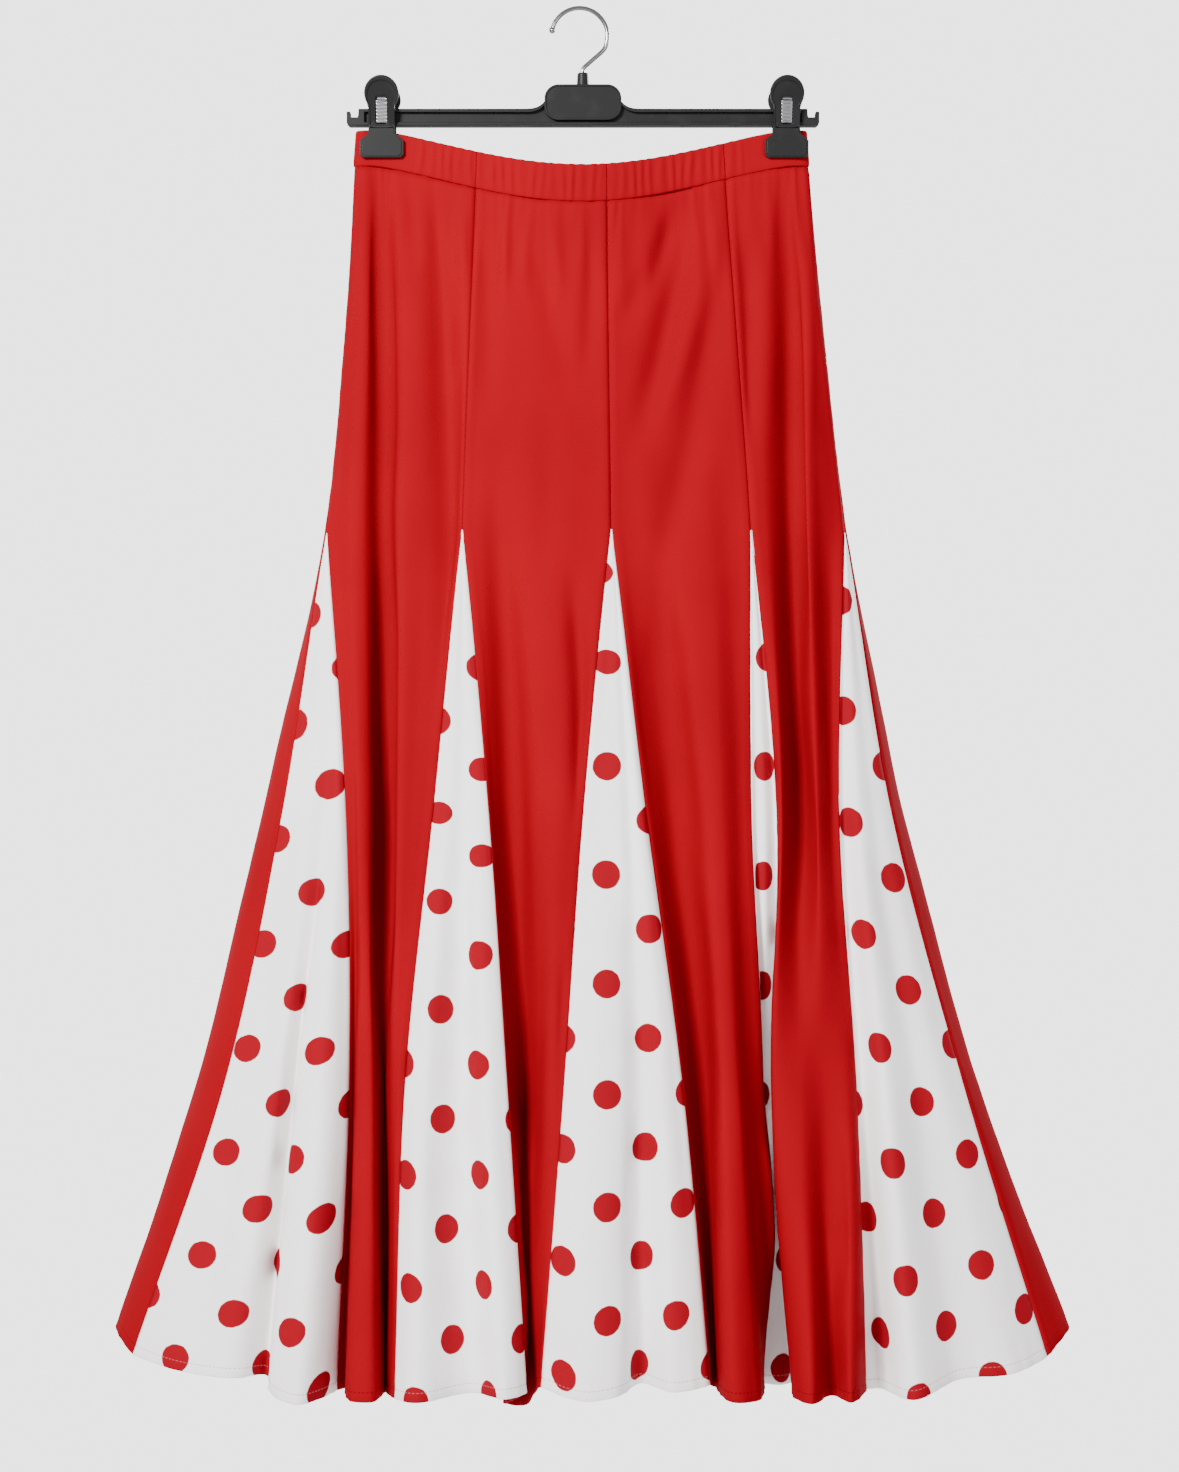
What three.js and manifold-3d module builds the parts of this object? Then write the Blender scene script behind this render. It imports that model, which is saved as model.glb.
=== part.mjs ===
// Flamenco skirt of eight plain gores and eight dotted godets, clipped to a hanger.
// Millimetres, +Z up. The origin is the inner crest of the hanger's hook, and the front faces -Y.
import * as THREE from "three";
import { mergeVertices } from "three/addons/utils/BufferGeometryUtils.js";
import Module from "manifold-3d";

const wasm = await Module();
wasm.setup();

// Cloth
const CLOTH_WALL = 1.5;
const BAND_WALL = 3;
const SEAM_GAP = 0.3;
const ROWS_PER_STATION = 2; // rows of facets between two stations of the tables
const GORE_STEPS = 3; // columns of facets between two lines of a gore
const GODET_STEPS = 3; // columns of facets between two lines of a godet
const GODET_TIP = 0.08; // share of the first row below the apex at which a godet begins
const APEX = 2; // station where the godets start

// The body that the cloth hangs on, at each station from the band's lower edge to the hem.
// z is the height, halfWidth and centre give the outline, depth is how far the front bows out.
const stations = [
  { name: "waist", z: -137, halfWidth: 177, centre: 1.6, depth: 14 },
  { name: "hip", z: -253, halfWidth: 187.5, centre: 3.4, depth: 26 },
  { name: "apex", z: -407, halfWidth: 204, centre: 4.7, depth: 46 },
  { name: "mid", z: -622, halfWidth: 250, centre: 2.6, depth: 68 },
  { name: "low", z: -832, halfWidth: 304, centre: 5.5, depth: 84 },
  { name: "hem", z: -1056, halfWidth: 372, centre: 9.2, depth: 98 },
];
const HEM = stations.length - 1;

// Waistband
const BAND = {
  topAtSide: -94.2,
  bottomAtSide: -122.5,
  topSag: 28.3,
  bottomSag: 29.5,
  sagHalfSpan: 165,
  sagSharpness: 1.4,
  pinch: 3.2, // half the distance between the two layers at the clips
  bow: 11, // how far each layer bows out at the middle
  bowHalfSpan: 0.84,
  sideRoundness: 36,
  rows: 3,
  gatherPitch: 8,
  gatherHeight: 0.7,
  topNarrowing: 0.012,
  gatherHalfSpan: 132, // the band lies flat beyond this, in the clips
};

// Hem height along the outline: level at the middle, a little lower beside it, highest at the sides
const HEM_FORM = { middle: -1055, flutes: -1062, side: -1034, fluteAt: 0.5, rise: 2.6 };

// One row a seam or fold line, from the left side round the front.
// x: place at waist, hip, apex, mid, low, hem (a godet's line starts at mid).
// inset: how far behind the body it lies at hip, apex, mid, low, hem (a godet's from mid).
// drop: how much lower than the outline of the hem it ends.
const panels = [
  {
    node: "gore_front_left_side",
    lines: [
      { line: "side seam", x: [-176, -183, -197, -179, -175, -184], inset: [0, 0, 3, 12, 26] },
      { line: "valley beside it", x: [-171, -176, -185, -173, -172, -179], inset: [0, 1, 5, 18, 34] },
      { line: "flute at the hem", x: [-165, -168, -173, -165, -161, -157], inset: [-1, 0, 3, -4, -18] },
      { line: "dark valley", x: [-158, -159, -159, -154, -150, -147], inset: [3, 8, 18, 22, 30] },
      { line: "rolled edge", x: [-147, -148, -146, -144, -143, -144], inset: [-1, -3, -6, 4, 16] },
      { line: "broad face", x: [-115, -108, -115, -126, -137, -141], inset: [1, 1, -3, 1, 8] },
      { line: "left seam", x: [-81, -85, -90, -111, -132, -139], inset: [0, 0, 0, 2, 3] },
    ],
  },
  {
    node: "godet_front_left",
    lines: [
      { line: "broad flute", x: [-100, -116, -120], inset: [-2, -8, -14] },
      { line: "facet", x: [-88, -90, -82], inset: [2, 9, 14] },
      { line: "narrow flute", x: [-78, -70, -55], inset: [-2, -8, -12] },
    ],
  },
  {
    node: "gore_front_left",
    lines: [
      { line: "left seam", x: [-81, -85, -90, -69, -54, -39], inset: [0, 0, 0, 1, 6] },
      { line: "turned edge", x: [-66, -69, -77, -64, -51, -51], inset: [0, 1, 8, 18, 34], drop: 12 },
      { line: "deep valley", x: [-50, -54, -66, -59, -46, -56], inset: [0, 3, 16, 34, 62], drop: 21 },
      { line: "return", x: [-27, -27, -38, -39, -35, -42], inset: [0, 0, 2, 16, 44], drop: 18 },
      { line: "face", x: [-4, -3, -7, -16, -23, -33], inset: [0, 0, -3, 2, 18] },
      { line: "centre seam", x: [21, 22, 24, 3, -12, -29], inset: [0, 0, 0, 0, 2], drop: -5 },
    ],
  },
  {
    node: "godet_front_centre",
    lines: [
      { line: "left flute", x: [16, 9, 4], inset: [-2, -8, -13], drop: 3 },
      { line: "middle", x: [30, 30, 29], inset: [-3, -6, -7] },
      { line: "fold", x: [38, 46, 46], inset: [0, 6, 18], drop: -4 },
      { line: "right flute", x: [44, 63, 70], inset: [-2, -2, -4], drop: -3 },
    ],
  },
  {
    node: "gore_front_right",
    lines: [
      { line: "centre seam", x: [21, 22, 24, 50, 78, 98], inset: [0, 0, 2, 6, 8], drop: -7 },
      { line: "valley", x: [35, 35, 37, 61, 87, 102], inset: [0, 2, 10, 18, 30] },
      { line: "bright flute", x: [58, 62, 67, 82, 102, 114], inset: [0, -1, -3, -8, -16] },
      { line: "side of the flute", x: [81, 87, 95, 102, 116, 132], inset: [0, -2, -5, -6, -8] },
      { line: "dark line", x: [99, 105, 114, 119, 124, 140], inset: [0, 1, 6, 14, 28] },
      { line: "right seam", x: [113, 121, 131, 131, 138, 133], inset: [0, 0, 5, 20, 48] },
    ],
  },
  {
    node: "godet_front_right",
    lines: [
      { line: "folded back left", x: [134, 133, 126], inset: [9, 35, 64] },
      { line: "strip that shows", x: [141, 142, 150], inset: [7, 30, 46] },
      { line: "folded back right", x: [149, 158, 178], inset: [11, 45, 66] },
    ],
  },
  {
    node: "gore_front_right_side",
    lines: [
      { line: "right seam", x: [113, 121, 131, 150, 150, 167], inset: [0, 0, 7, 22, 38] },
      { line: "first crest", x: [136, 139, 144, 153, 146, 160], inset: [0, 0, -3, 2, 6] },
      { line: "sharp fold", x: [156, 157, 157, 162, 162, 173], inset: [4, 8, 12, -2, -16] },
      { line: "second crest", x: [167, 170, 170, 172, 181, 189], inset: [-2, -3, -6, 6, 20] },
      { line: "thin fold", x: [173, 183, 187, 193, 204, 202], inset: [0, 3, 5, 3, -14] },
      { line: "side seam", x: [178, 190, 206, 199, 211, 218], inset: [0, 0, 3, 12, 26] },
    ],
  },
  {
    node: "godet_side_right",
    lines: [
      { line: "valley", x: [202, 215, 229], inset: [6, 14, 26] },
      { line: "flute", x: [213, 231, 251], inset: [-2, -7, -12], drop: 2 },
      { line: "face", x: [225, 256, 289], inset: [0, 2, 6], drop: -4 },
      { line: "outer face", x: [234, 276, 327], inset: [-1, -2, -4] },
    ],
  },
  {
    node: "gore_back_right_side",
    lines: [
      { line: "side seam", x: [178, 190, 206, 240, 295, 359], inset: [0, 0, 0, 0, 0] },
      { line: "outline", back: true, x: [175, 187, 207, 252, 309, 381], inset: [0, 0, 0, 0, 0] },
      { line: "side flute", back: true, x: [158, 168, 183, 230, 288, 361], inset: [-1, -2, -3, -6, -10] },
      { line: "valley", back: true, x: [142, 148, 160, 200, 256, 322], inset: [2, 5, 8, 14, 24] },
      { line: "crest", back: true, x: [126, 132, 140, 176, 228, 296], inset: [0, -1, -3, -6, -12] },
      { line: "right seam", back: true, x: [112, 118, 126, 160, 212, 280], inset: [0, 0, 0, 2, 6] },
    ],
  },
  {
    node: "godet_back_right",
    lines: [
      { line: "flute", back: true, x: [152, 192, 250], inset: [-2, -7, -14] },
      { line: "fold", back: true, x: [142, 172, 225], inset: [1, 10, 26] },
      { line: "broad flute", back: true, x: [132, 150, 194], inset: [-2, -8, -12] },
    ],
  },
  {
    node: "gore_back_right",
    lines: [
      { line: "right seam", back: true, x: [112, 118, 126, 122, 132, 162], inset: [0, 0, 2, 6, 12] },
      { line: "right valley", back: true, x: [98, 102, 106, 104, 118, 150], inset: [1, 3, 8, 16, 30] },
      { line: "flute", back: true, x: [78, 80, 84, 86, 102, 132], inset: [-1, -2, -4, -9, -18] },
      { line: "left valley", back: true, x: [55, 55, 56, 62, 78, 108], inset: [1, 2, 6, 14, 26] },
      { line: "centre seam", back: true, x: [18, 18, 20, 42, 66, 94], inset: [0, 0, 0, 2, 6] },
    ],
  },
  {
    node: "godet_back_centre",
    lines: [
      { line: "flute", back: true, x: [34, 50, 70], inset: [-2, -8, -14] },
      { line: "fold", back: true, x: [22, 26, 38], inset: [2, 8, 20] },
      { line: "broad flute", back: true, x: [10, 2, 2], inset: [-2, -7, -12] },
      { line: "side of the flute", back: true, x: [-1, -22, -30], inset: [-1, -2, -4] },
    ],
  },
  {
    node: "gore_back_left",
    lines: [
      { line: "centre seam", back: true, x: [18, 18, 20, -8, -40, -56], inset: [0, 0, 1, 4, 8] },
      { line: "right valley", back: true, x: [-10, -10, -8, -22, -48, -62], inset: [0, 1, 6, 18, 34] },
      { line: "flute", back: true, x: [-36, -36, -38, -42, -62, -80], inset: [0, -1, -4, -8, -16] },
      { line: "left valley", back: true, x: [-60, -60, -64, -60, -78, -104], inset: [2, 4, 8, 14, 28] },
      { line: "left seam", back: true, x: [-84, -88, -94, -76, -90, -118], inset: [0, 0, 0, 4, 8] },
    ],
  },
  {
    node: "godet_back_left",
    lines: [
      { line: "flute", back: true, x: [-84, -108, -142], inset: [-2, -7, -14] },
      { line: "fold", back: true, x: [-94, -128, -172], inset: [1, 9, 24] },
      { line: "broad flute", back: true, x: [-105, -148, -204], inset: [-2, -7, -12] },
    ],
  },
  {
    node: "gore_back_left_side",
    lines: [
      { line: "left seam", back: true, x: [-84, -88, -94, -116, -166, -232], inset: [0, 0, 0, 2, 6] },
      { line: "crest", back: true, x: [-100, -106, -112, -134, -184, -252], inset: [-1, -2, -4, -6, -12] },
      { line: "valley", back: true, x: [-120, -128, -136, -160, -214, -286], inset: [2, 4, 8, 14, 24] },
      { line: "side flute", back: true, x: [-145, -152, -165, -202, -258, -330], inset: [-1, -2, -3, -6, -10] },
      { line: "outline", back: true, x: [-171, -181, -198, -247, -298, -362], inset: [0, 0, 0, 0, 0] },
      { line: "side seam", x: [-176, -183, -197, -229, -273, -344], inset: [0, 0, 0, 0, 0] },
    ],
  },
  {
    node: "godet_side_left",
    lines: [
      { line: "outer face", x: [-221, -253, -305], inset: [-1, -2, -4], drop: -4 },
      { line: "face", x: [-207, -225, -262], inset: [-4, -7, -9], drop: -9 },
      { line: "fold", x: [-194, -211, -237], inset: [1, 10, 26], drop: -7 },
      { line: "flute", x: [-185, -190, -211], inset: [-2, -7, -15], drop: 3 },
    ],
  },
];

// A smooth curve through evenly spaced values, read at place t from 0 to the last index.
function through(values, t) {
  const last = values.length - 1;
  const i = Math.min(last - 1, Math.max(0, Math.floor(t)));
  const f = t - i;
  const a = values[i];
  const b = values[i + 1];
  const before = i > 0 ? values[i - 1] : 2 * a - b;
  const after = i + 2 <= last ? values[i + 2] : 2 * b - a;
  const leave = (b - before) / 2;
  const arrive = (after - a) / 2;
  const f2 = f * f;
  const f3 = f2 * f;
  return (
    (2 * f3 - 3 * f2 + 1) * a + (f3 - 2 * f2 + f) * leave + (3 * f2 - 2 * f3) * b + (f3 - f2) * arrive
  );
}

function alongStations(key, s) {
  return through(stations.map((station) => station[key]), s);
}

// How far the front of the unfolded body bows out at place x, s stations down from the band.
function bodyDepth(x, s) {
  const u = Math.min(1, Math.abs((x - alongStations("centre", s)) / alongStations("halfWidth", s)));
  const round = alongStations("depth", s) * Math.sqrt(1 - u * u);
  const bowed = BAND.bow * Math.max(0, 1 - (u / BAND.bowHalfSpan) ** 2) ** 2;
  const flat = (BAND.pinch + bowed) * Math.sqrt(1 - u ** BAND.sideRoundness);
  return THREE.MathUtils.lerp(flat, round, THREE.MathUtils.smoothstep(s, 0, 1));
}

function sag(x) {
  const turn = Math.min(1, Math.abs(x - stations[0].centre) / BAND.sagHalfSpan) * (Math.PI / 2);
  return Math.cos(turn) ** BAND.sagSharpness;
}

const bandBottom = (x) => BAND.bottomAtSide - BAND.bottomSag * sag(x);
const bandTop = (x) => BAND.topAtSide - BAND.topSag * sag(x);

function hemHeight(x) {
  const hem = stations[HEM];
  const u = Math.min(1, Math.abs((x - hem.centre) / hem.halfWidth));
  if (u < HEM_FORM.fluteAt) {
    const share = THREE.MathUtils.smoothstep(u, 0, HEM_FORM.fluteAt);
    return THREE.MathUtils.lerp(HEM_FORM.middle, HEM_FORM.flutes, share);
  }
  const share = ((u - HEM_FORM.fluteAt) / (1 - HEM_FORM.fluteAt)) ** HEM_FORM.rise;
  return THREE.MathUtils.lerp(HEM_FORM.flutes, HEM_FORM.side, share);
}

// The point of a line s stations down. A seam bends sharply at the apex, where a godet enters it.
function pointOn(line, s, isSeam) {
  const inset = [0, ...line.inset];
  let from = 0;
  let to = HEM + 1;
  if (isSeam && s <= APEX) to = APEX + 1;
  if (isSeam && s > APEX) from = APEX;
  const x = through(line.x.slice(from, to), s - from);
  const depth = bodyDepth(x, s) - through(inset.slice(from, to), s - from);
  const heights = stations.map((station) => station.z);
  heights[0] = bandBottom(line.x[0]) - SEAM_GAP / 2;
  heights[HEM] = hemHeight(line.x[HEM]) - (line.drop ?? 0);
  const i = Math.min(HEM - 1, Math.floor(s));
  const z = THREE.MathUtils.lerp(heights[i], heights[i + 1], s - i);
  return new THREE.Vector3(x, line.back ? depth : -depth, z);
}

// A godet has its neighbours' seams as its first and last line, and each of its own starts at the apex.
function wholeLines(index) {
  const panel = panels[index];
  if (!panel.node.startsWith("godet")) return panel.lines;
  const left = panels[(index + panels.length - 1) % panels.length].lines.at(-1);
  const right = panels[(index + 1) % panels.length].lines[0];
  const own = panel.lines.map((line) => ({
    ...line,
    x: [...left.x.slice(0, APEX + 1), ...line.x],
    inset: [...left.inset.slice(0, APEX), ...line.inset],
  }));
  return [left, ...own, right];
}

// Points along one row of a panel: a smooth curve through its lines, in steps between each two.
function rowThrough(knots, steps) {
  const last = knots.length - 1;
  const chords = knots.slice(1).map((knot, i) => Math.max(1e-6, Math.sqrt(knot.distanceTo(knots[i]))));
  const slopes = chords.map((chord, i) => knots[i + 1].clone().sub(knots[i]).divideScalar(chord));
  const tangents = knots.map((_, i) => {
    if (i === 0 || i === last) return null;
    const before = chords[i - 1];
    const after = chords[i];
    return slopes[i - 1].clone().multiplyScalar(after).addScaledVector(slopes[i], before)
      .divideScalar(before + after);
  });
  tangents[0] = slopes[0].clone().multiplyScalar(1.5).addScaledVector(tangents[1], -0.5);
  tangents[last] = slopes[last - 1].clone().multiplyScalar(1.5).addScaledVector(tangents[last - 1], -0.5);
  const row = [];
  for (let i = 0; i < last; i++) {
    for (let k = 0; k < steps; k++) {
      const f = k / steps;
      const f2 = f * f;
      const f3 = f2 * f;
      const point = knots[i].clone().multiplyScalar(2 * f3 - 3 * f2 + 1);
      point.addScaledVector(tangents[i], (f3 - 2 * f2 + f) * chords[i]);
      point.addScaledVector(knots[i + 1], 3 * f2 - 2 * f3);
      point.addScaledVector(tangents[i + 1], (f3 - f2) * chords[i]);
      row.push(point);
    }
  }
  row.push(knots[last].clone());
  return row;
}

// Every panel's middle surface as rows of points, from the band to the hem.
const rowCount = HEM * ROWS_PER_STATION + 1;
const apexRow = APEX * ROWS_PER_STATION;
const surfaces = panels.map((panel, index) => {
  const isGodet = panel.node.startsWith("godet");
  const lines = wholeLines(index);
  const rows = [];
  for (let r = 0; r < rowCount; r++) {
    const s = r / ROWS_PER_STATION;
    const knots = lines.map((line, i) => pointOn(line, s, isGodet || i === 0 || i === lines.length - 1));
    rows.push(rowThrough(knots, isGodet ? GODET_STEPS : GORE_STEPS));
  }
  for (const point of rows[0]) point.z = bandBottom(point.x) - SEAM_GAP / 2;
  return { node: panel.node, isGodet, rows };
});

const unitBetween = (from, to) => to.clone().sub(from).normalize();

// A closed wall from rows of frames: outer and inner points, joined round the edges.
function wallGeometry(frames, outerDepth, innerDepth) {
  const rows = frames.length;
  const columns = frames[0].length;
  const position = [];
  frames.forEach((row, r) =>
    row.forEach(({ point, along, outward }, c) => {
      const edge = c === 0 ? 1 : c === columns - 1 ? -1 : 0;
      const middle = point.clone().addScaledVector(along, (edge * SEAM_GAP) / 2);
      position.push(...middle.clone().addScaledVector(outward, outerDepth(r, c)));
      position.push(...middle.addScaledVector(outward, -innerDepth));
    }),
  );
  const at = (r, c, side) => 2 * (r * columns + c) + side;
  const index = [];
  const quad = (a, b, c, d) => index.push(a, b, c, a, c, d);
  for (let r = 0; r < rows - 1; r++) {
    for (let c = 0; c < columns - 1; c++) {
      quad(at(r, c, 0), at(r + 1, c, 0), at(r + 1, c + 1, 0), at(r, c + 1, 0));
      quad(at(r, c, 1), at(r, c + 1, 1), at(r + 1, c + 1, 1), at(r + 1, c, 1));
    }
    quad(at(r, 0, 0), at(r, 0, 1), at(r + 1, 0, 1), at(r + 1, 0, 0));
    const end = columns - 1;
    quad(at(r, end, 0), at(r + 1, end, 0), at(r + 1, end, 1), at(r, end, 1));
  }
  for (let c = 0; c < columns - 1; c++) {
    quad(at(0, c, 0), at(0, c + 1, 0), at(0, c + 1, 1), at(0, c, 1));
    quad(at(rows - 1, c, 0), at(rows - 1, c, 1), at(rows - 1, c + 1, 1), at(rows - 1, c + 1, 0));
  }
  const geometry = new THREE.BufferGeometry();
  geometry.setAttribute("position", new THREE.Float32BufferAttribute(position, 3));
  geometry.setIndex(index);
  geometry.computeVertexNormals();
  return geometry;
}

// The frames of a panel's rows, with the panels before and after it given row by row.
function framesOf(rows, beforeAt, afterAt) {
  return rows.map((row, r) =>
    row.map((point, c) => {
      const previous = c > 0 ? row[c - 1] : beforeAt(r).at(-2);
      const next = c < row.length - 1 ? row[c + 1] : afterAt(r)[1];
      const along = unitBetween(previous, point).add(unitBetween(point, next)).normalize();
      const above = rows[Math.max(0, r - 1)][c];
      const below = rows[Math.min(rows.length - 1, r + 1)][c];
      const outward = unitBetween(above, below).cross(along).normalize();
      return { point, along, outward };
    }),
  );
}

const ringStep = (index, by) => (index + by + panels.length) % panels.length;

function goreFrames(index) {
  const neighbour = (by) => (r) => surfaces[ringStep(index, r <= apexRow ? 2 * by : by)].rows[r];
  return framesOf(surfaces[index].rows, neighbour(-1), neighbour(1));
}

// A godet's first row lies a little below the apex, on the straight lines from there to its next row.
function godetFrames(index) {
  const neighbour = (by) => (r) => surfaces[ringStep(index, by)].rows[apexRow + 1 + r];
  const frames = framesOf(surfaces[index].rows.slice(apexRow + 1), neighbour(-1), neighbour(1));
  const apex = goreFrames(ringStep(index, -1))[apexRow].at(-1);
  const tip = frames[0].map((frame) => ({
    point: apex.point.clone().lerp(frame.point, GODET_TIP),
    along: apex.along.clone().lerp(frame.along, GODET_TIP),
    outward: apex.outward.clone().lerp(frame.outward, GODET_TIP).normalize(),
  }));
  return [tip, ...frames];
}

// The waistband's length above each gore, with its gathers as soft ribs on the outside.
function bandRows(gore) {
  const curve = new THREE.CatmullRomCurve3(gore.rows[0]);
  const gathers = Math.round(curve.getLength() / BAND.gatherPitch);
  const foot = curve.getSpacedPoints(2 * gathers);
  const rows = [];
  for (let r = 0; r <= BAND.rows; r++) {
    const share = r / BAND.rows;
    rows.push(
      foot.map(({ x, y }) => {
        const z = THREE.MathUtils.lerp(bandTop(x), bandBottom(x) + SEAM_GAP / 2, share);
        const narrow = 1 - BAND.topNarrowing * (1 - share);
        return new THREE.Vector3(stations[0].centre + (x - stations[0].centre) * narrow, y, z);
      }),
    );
  }
  return rows;
}

function gatherAt(frame, r, c) {
  const onRib = c % 2 === 1 && r > 0;
  return onRib && Math.abs(frame.point.x) < BAND.gatherHalfSpan ? BAND.gatherHeight : 0;
}

// Hanger
const HOOK = { wire: 3.4, radius: 21.8, centreX: -0.4, tipAngle: 168, leaveAngle: -28, ball: 2.5 };
const BAR = {
  centreX: 2.3,
  halfLength: 184,
  thickness: 10,
  top: -77.8,
  bottom: -90.8,
  flange: 2.6,
  web: 3,
  tipWidth: 3,
  tipTop: -80,
  notchWidth: 6.2,
  notchFloor: -85,
  corner: 2,
  shoulderStart: 44,
  shoulderTop: -70.6,
};
const PLATE = { width: 60, height: 27.8, middleZ: -72.8, corner: 11, thickness: 11.4, rim: 1.6, sink: 0.6 };
const SOCKET = { topZ: -49.2, bore: 2.2, boreFloor: -55, topRadius: 4.2, footRadius: 4.8, footZ: -60 };
const SHANK_X = 2.2;
const CLIP = {
  places: { left: -154, right: 160.7 },
  headRadius: 13.4,
  headZ: -67.6,
  neckHalf: 10.35,
  neckFoot: -98,
  jawHalf: 17,
  jawTop: -100.8,
  jawBottom: -116.4,
  chamfer: 2.4,
  thickness: 3.4,
  backY: 5.3, // inner face of a lever, clear of the bar
  padY: 5.1, // inner face of its jaw, clear of the band
  bendZ: -91,
  splay: 0.25,
  windowHalf: 4.65,
  windowTop: -69.8,
  windowBottom: -90.4,
};
const SPRING = { halfWidth: 4.35, thickness: 1 };

function solidOf(geometry) {
  const bare = geometry.clone();
  bare.deleteAttribute("normal");
  bare.deleteAttribute("uv");
  const merged = mergeVertices(bare, 1e-4);
  const triVerts = new Uint32Array(merged.index.array);
  const vertProperties = new Float32Array(merged.attributes.position.array);
  return new wasm.Manifold(new wasm.Mesh({ numProp: 3, vertProperties, triVerts }));
}

function geometryOf(solid) {
  const mesh = solid.getMesh();
  const geometry = new THREE.BufferGeometry();
  geometry.setAttribute("position", new THREE.BufferAttribute(mesh.vertProperties, 3));
  geometry.setIndex(new THREE.BufferAttribute(mesh.triVerts, 1));
  geometry.computeVertexNormals();
  return geometry;
}

// A flat outline in X and Z, with its thickness in Y from y0 to y1.
function plateOf(shape, y0, y1, curveSegments = 6) {
  const geometry = new THREE.ExtrudeGeometry(shape, { depth: y1 - y0, bevelEnabled: false, curveSegments });
  geometry.rotateX(Math.PI / 2);
  geometry.translate(0, y1, 0);
  return geometry;
}

function boxOf([x0, x1], [y0, y1], [z0, z1]) {
  const geometry = new THREE.BoxGeometry(x1 - x0, y1 - y0, z1 - z0);
  geometry.translate((x0 + x1) / 2, (y0 + y1) / 2, (z0 + z1) / 2);
  return geometry;
}

function roundedShape(centreX, centreZ, width, height, radius) {
  const shape = new THREE.Shape();
  const [left, right] = [centreX - width / 2, centreX + width / 2];
  const [bottom, top] = [centreZ - height / 2, centreZ + height / 2];
  shape.absarc(right - radius, bottom + radius, radius, -Math.PI / 2, 0, false);
  shape.absarc(right - radius, top - radius, radius, 0, Math.PI / 2, false);
  shape.absarc(left + radius, top - radius, radius, Math.PI / 2, Math.PI, false);
  shape.absarc(left + radius, bottom + radius, radius, Math.PI, 1.5 * Math.PI, false);
  shape.closePath();
  return shape;
}

function barShape() {
  const half = [
    [BAR.halfLength - BAR.corner, BAR.bottom],
    [BAR.halfLength, BAR.bottom + BAR.corner],
    [BAR.halfLength, BAR.tipTop],
    [BAR.halfLength - BAR.tipWidth, BAR.tipTop],
    [BAR.halfLength - BAR.tipWidth, BAR.notchFloor],
    [BAR.halfLength - BAR.tipWidth - BAR.notchWidth, BAR.notchFloor],
    [BAR.halfLength - BAR.tipWidth - BAR.notchWidth, BAR.top],
  ];
  const shoulder = new THREE.QuadraticBezierCurve(
    new THREE.Vector2(BAR.shoulderStart, BAR.top),
    new THREE.Vector2(PLATE.width / 2 + 3, BAR.top),
    new THREE.Vector2(PLATE.width / 2 - 1, BAR.shoulderTop),
  );
  half.push(...shoulder.getPoints(5).map((p) => [p.x, p.y]));
  const whole = [...half, ...half.map(([x, z]) => [-x, z]).reverse()];
  return new THREE.Shape(whole.map(([x, z]) => new THREE.Vector2(BAR.centreX + x, z)));
}

function hangerBar() {
  const deep = BAR.thickness / 2;
  let bar = solidOf(plateOf(barShape(), -deep, deep));
  const recess = [BAR.bottom + BAR.flange, BAR.top - BAR.flange];
  const reach = [PLATE.width / 2 + 1, BAR.halfLength - 14];
  for (const way of [-1, 1]) {
    const span = [BAR.centreX + way * reach[0], BAR.centreX + way * reach[1]].sort((a, b) => a - b);
    bar = bar.subtract(solidOf(boxOf(span, [-deep - 1, -BAR.web / 2], recess)));
    bar = bar.subtract(solidOf(boxOf(span, [BAR.web / 2, deep + 1], recess)));
  }
  const plate = roundedShape(BAR.centreX, PLATE.middleZ, PLATE.width, PLATE.height, PLATE.corner);
  bar = bar.add(solidOf(plateOf(plate, -PLATE.thickness / 2, PLATE.thickness / 2)));
  const inside = roundedShape(
    BAR.centreX,
    PLATE.middleZ,
    PLATE.width - 2 * PLATE.rim,
    PLATE.height - 2 * PLATE.rim,
    PLATE.corner - PLATE.rim,
  );
  const face = PLATE.thickness / 2 - PLATE.sink;
  bar = bar.subtract(solidOf(plateOf(inside, -PLATE.thickness, -face)));
  bar = bar.subtract(solidOf(plateOf(inside, face, PLATE.thickness)));
  const profile = [
    [0, SOCKET.footZ],
    [SOCKET.footRadius, SOCKET.footZ],
    [SOCKET.topRadius, SOCKET.topZ],
    [SOCKET.bore, SOCKET.topZ],
    [SOCKET.bore, SOCKET.boreFloor],
    [0, SOCKET.boreFloor],
  ];
  const socket = new THREE.LatheGeometry(profile.map(([r, z]) => new THREE.Vector2(r, z)), 16);
  socket.rotateX(Math.PI / 2);
  socket.translate(SHANK_X, 0, 0);
  return geometryOf(bar.add(solidOf(socket)));
}

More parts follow.
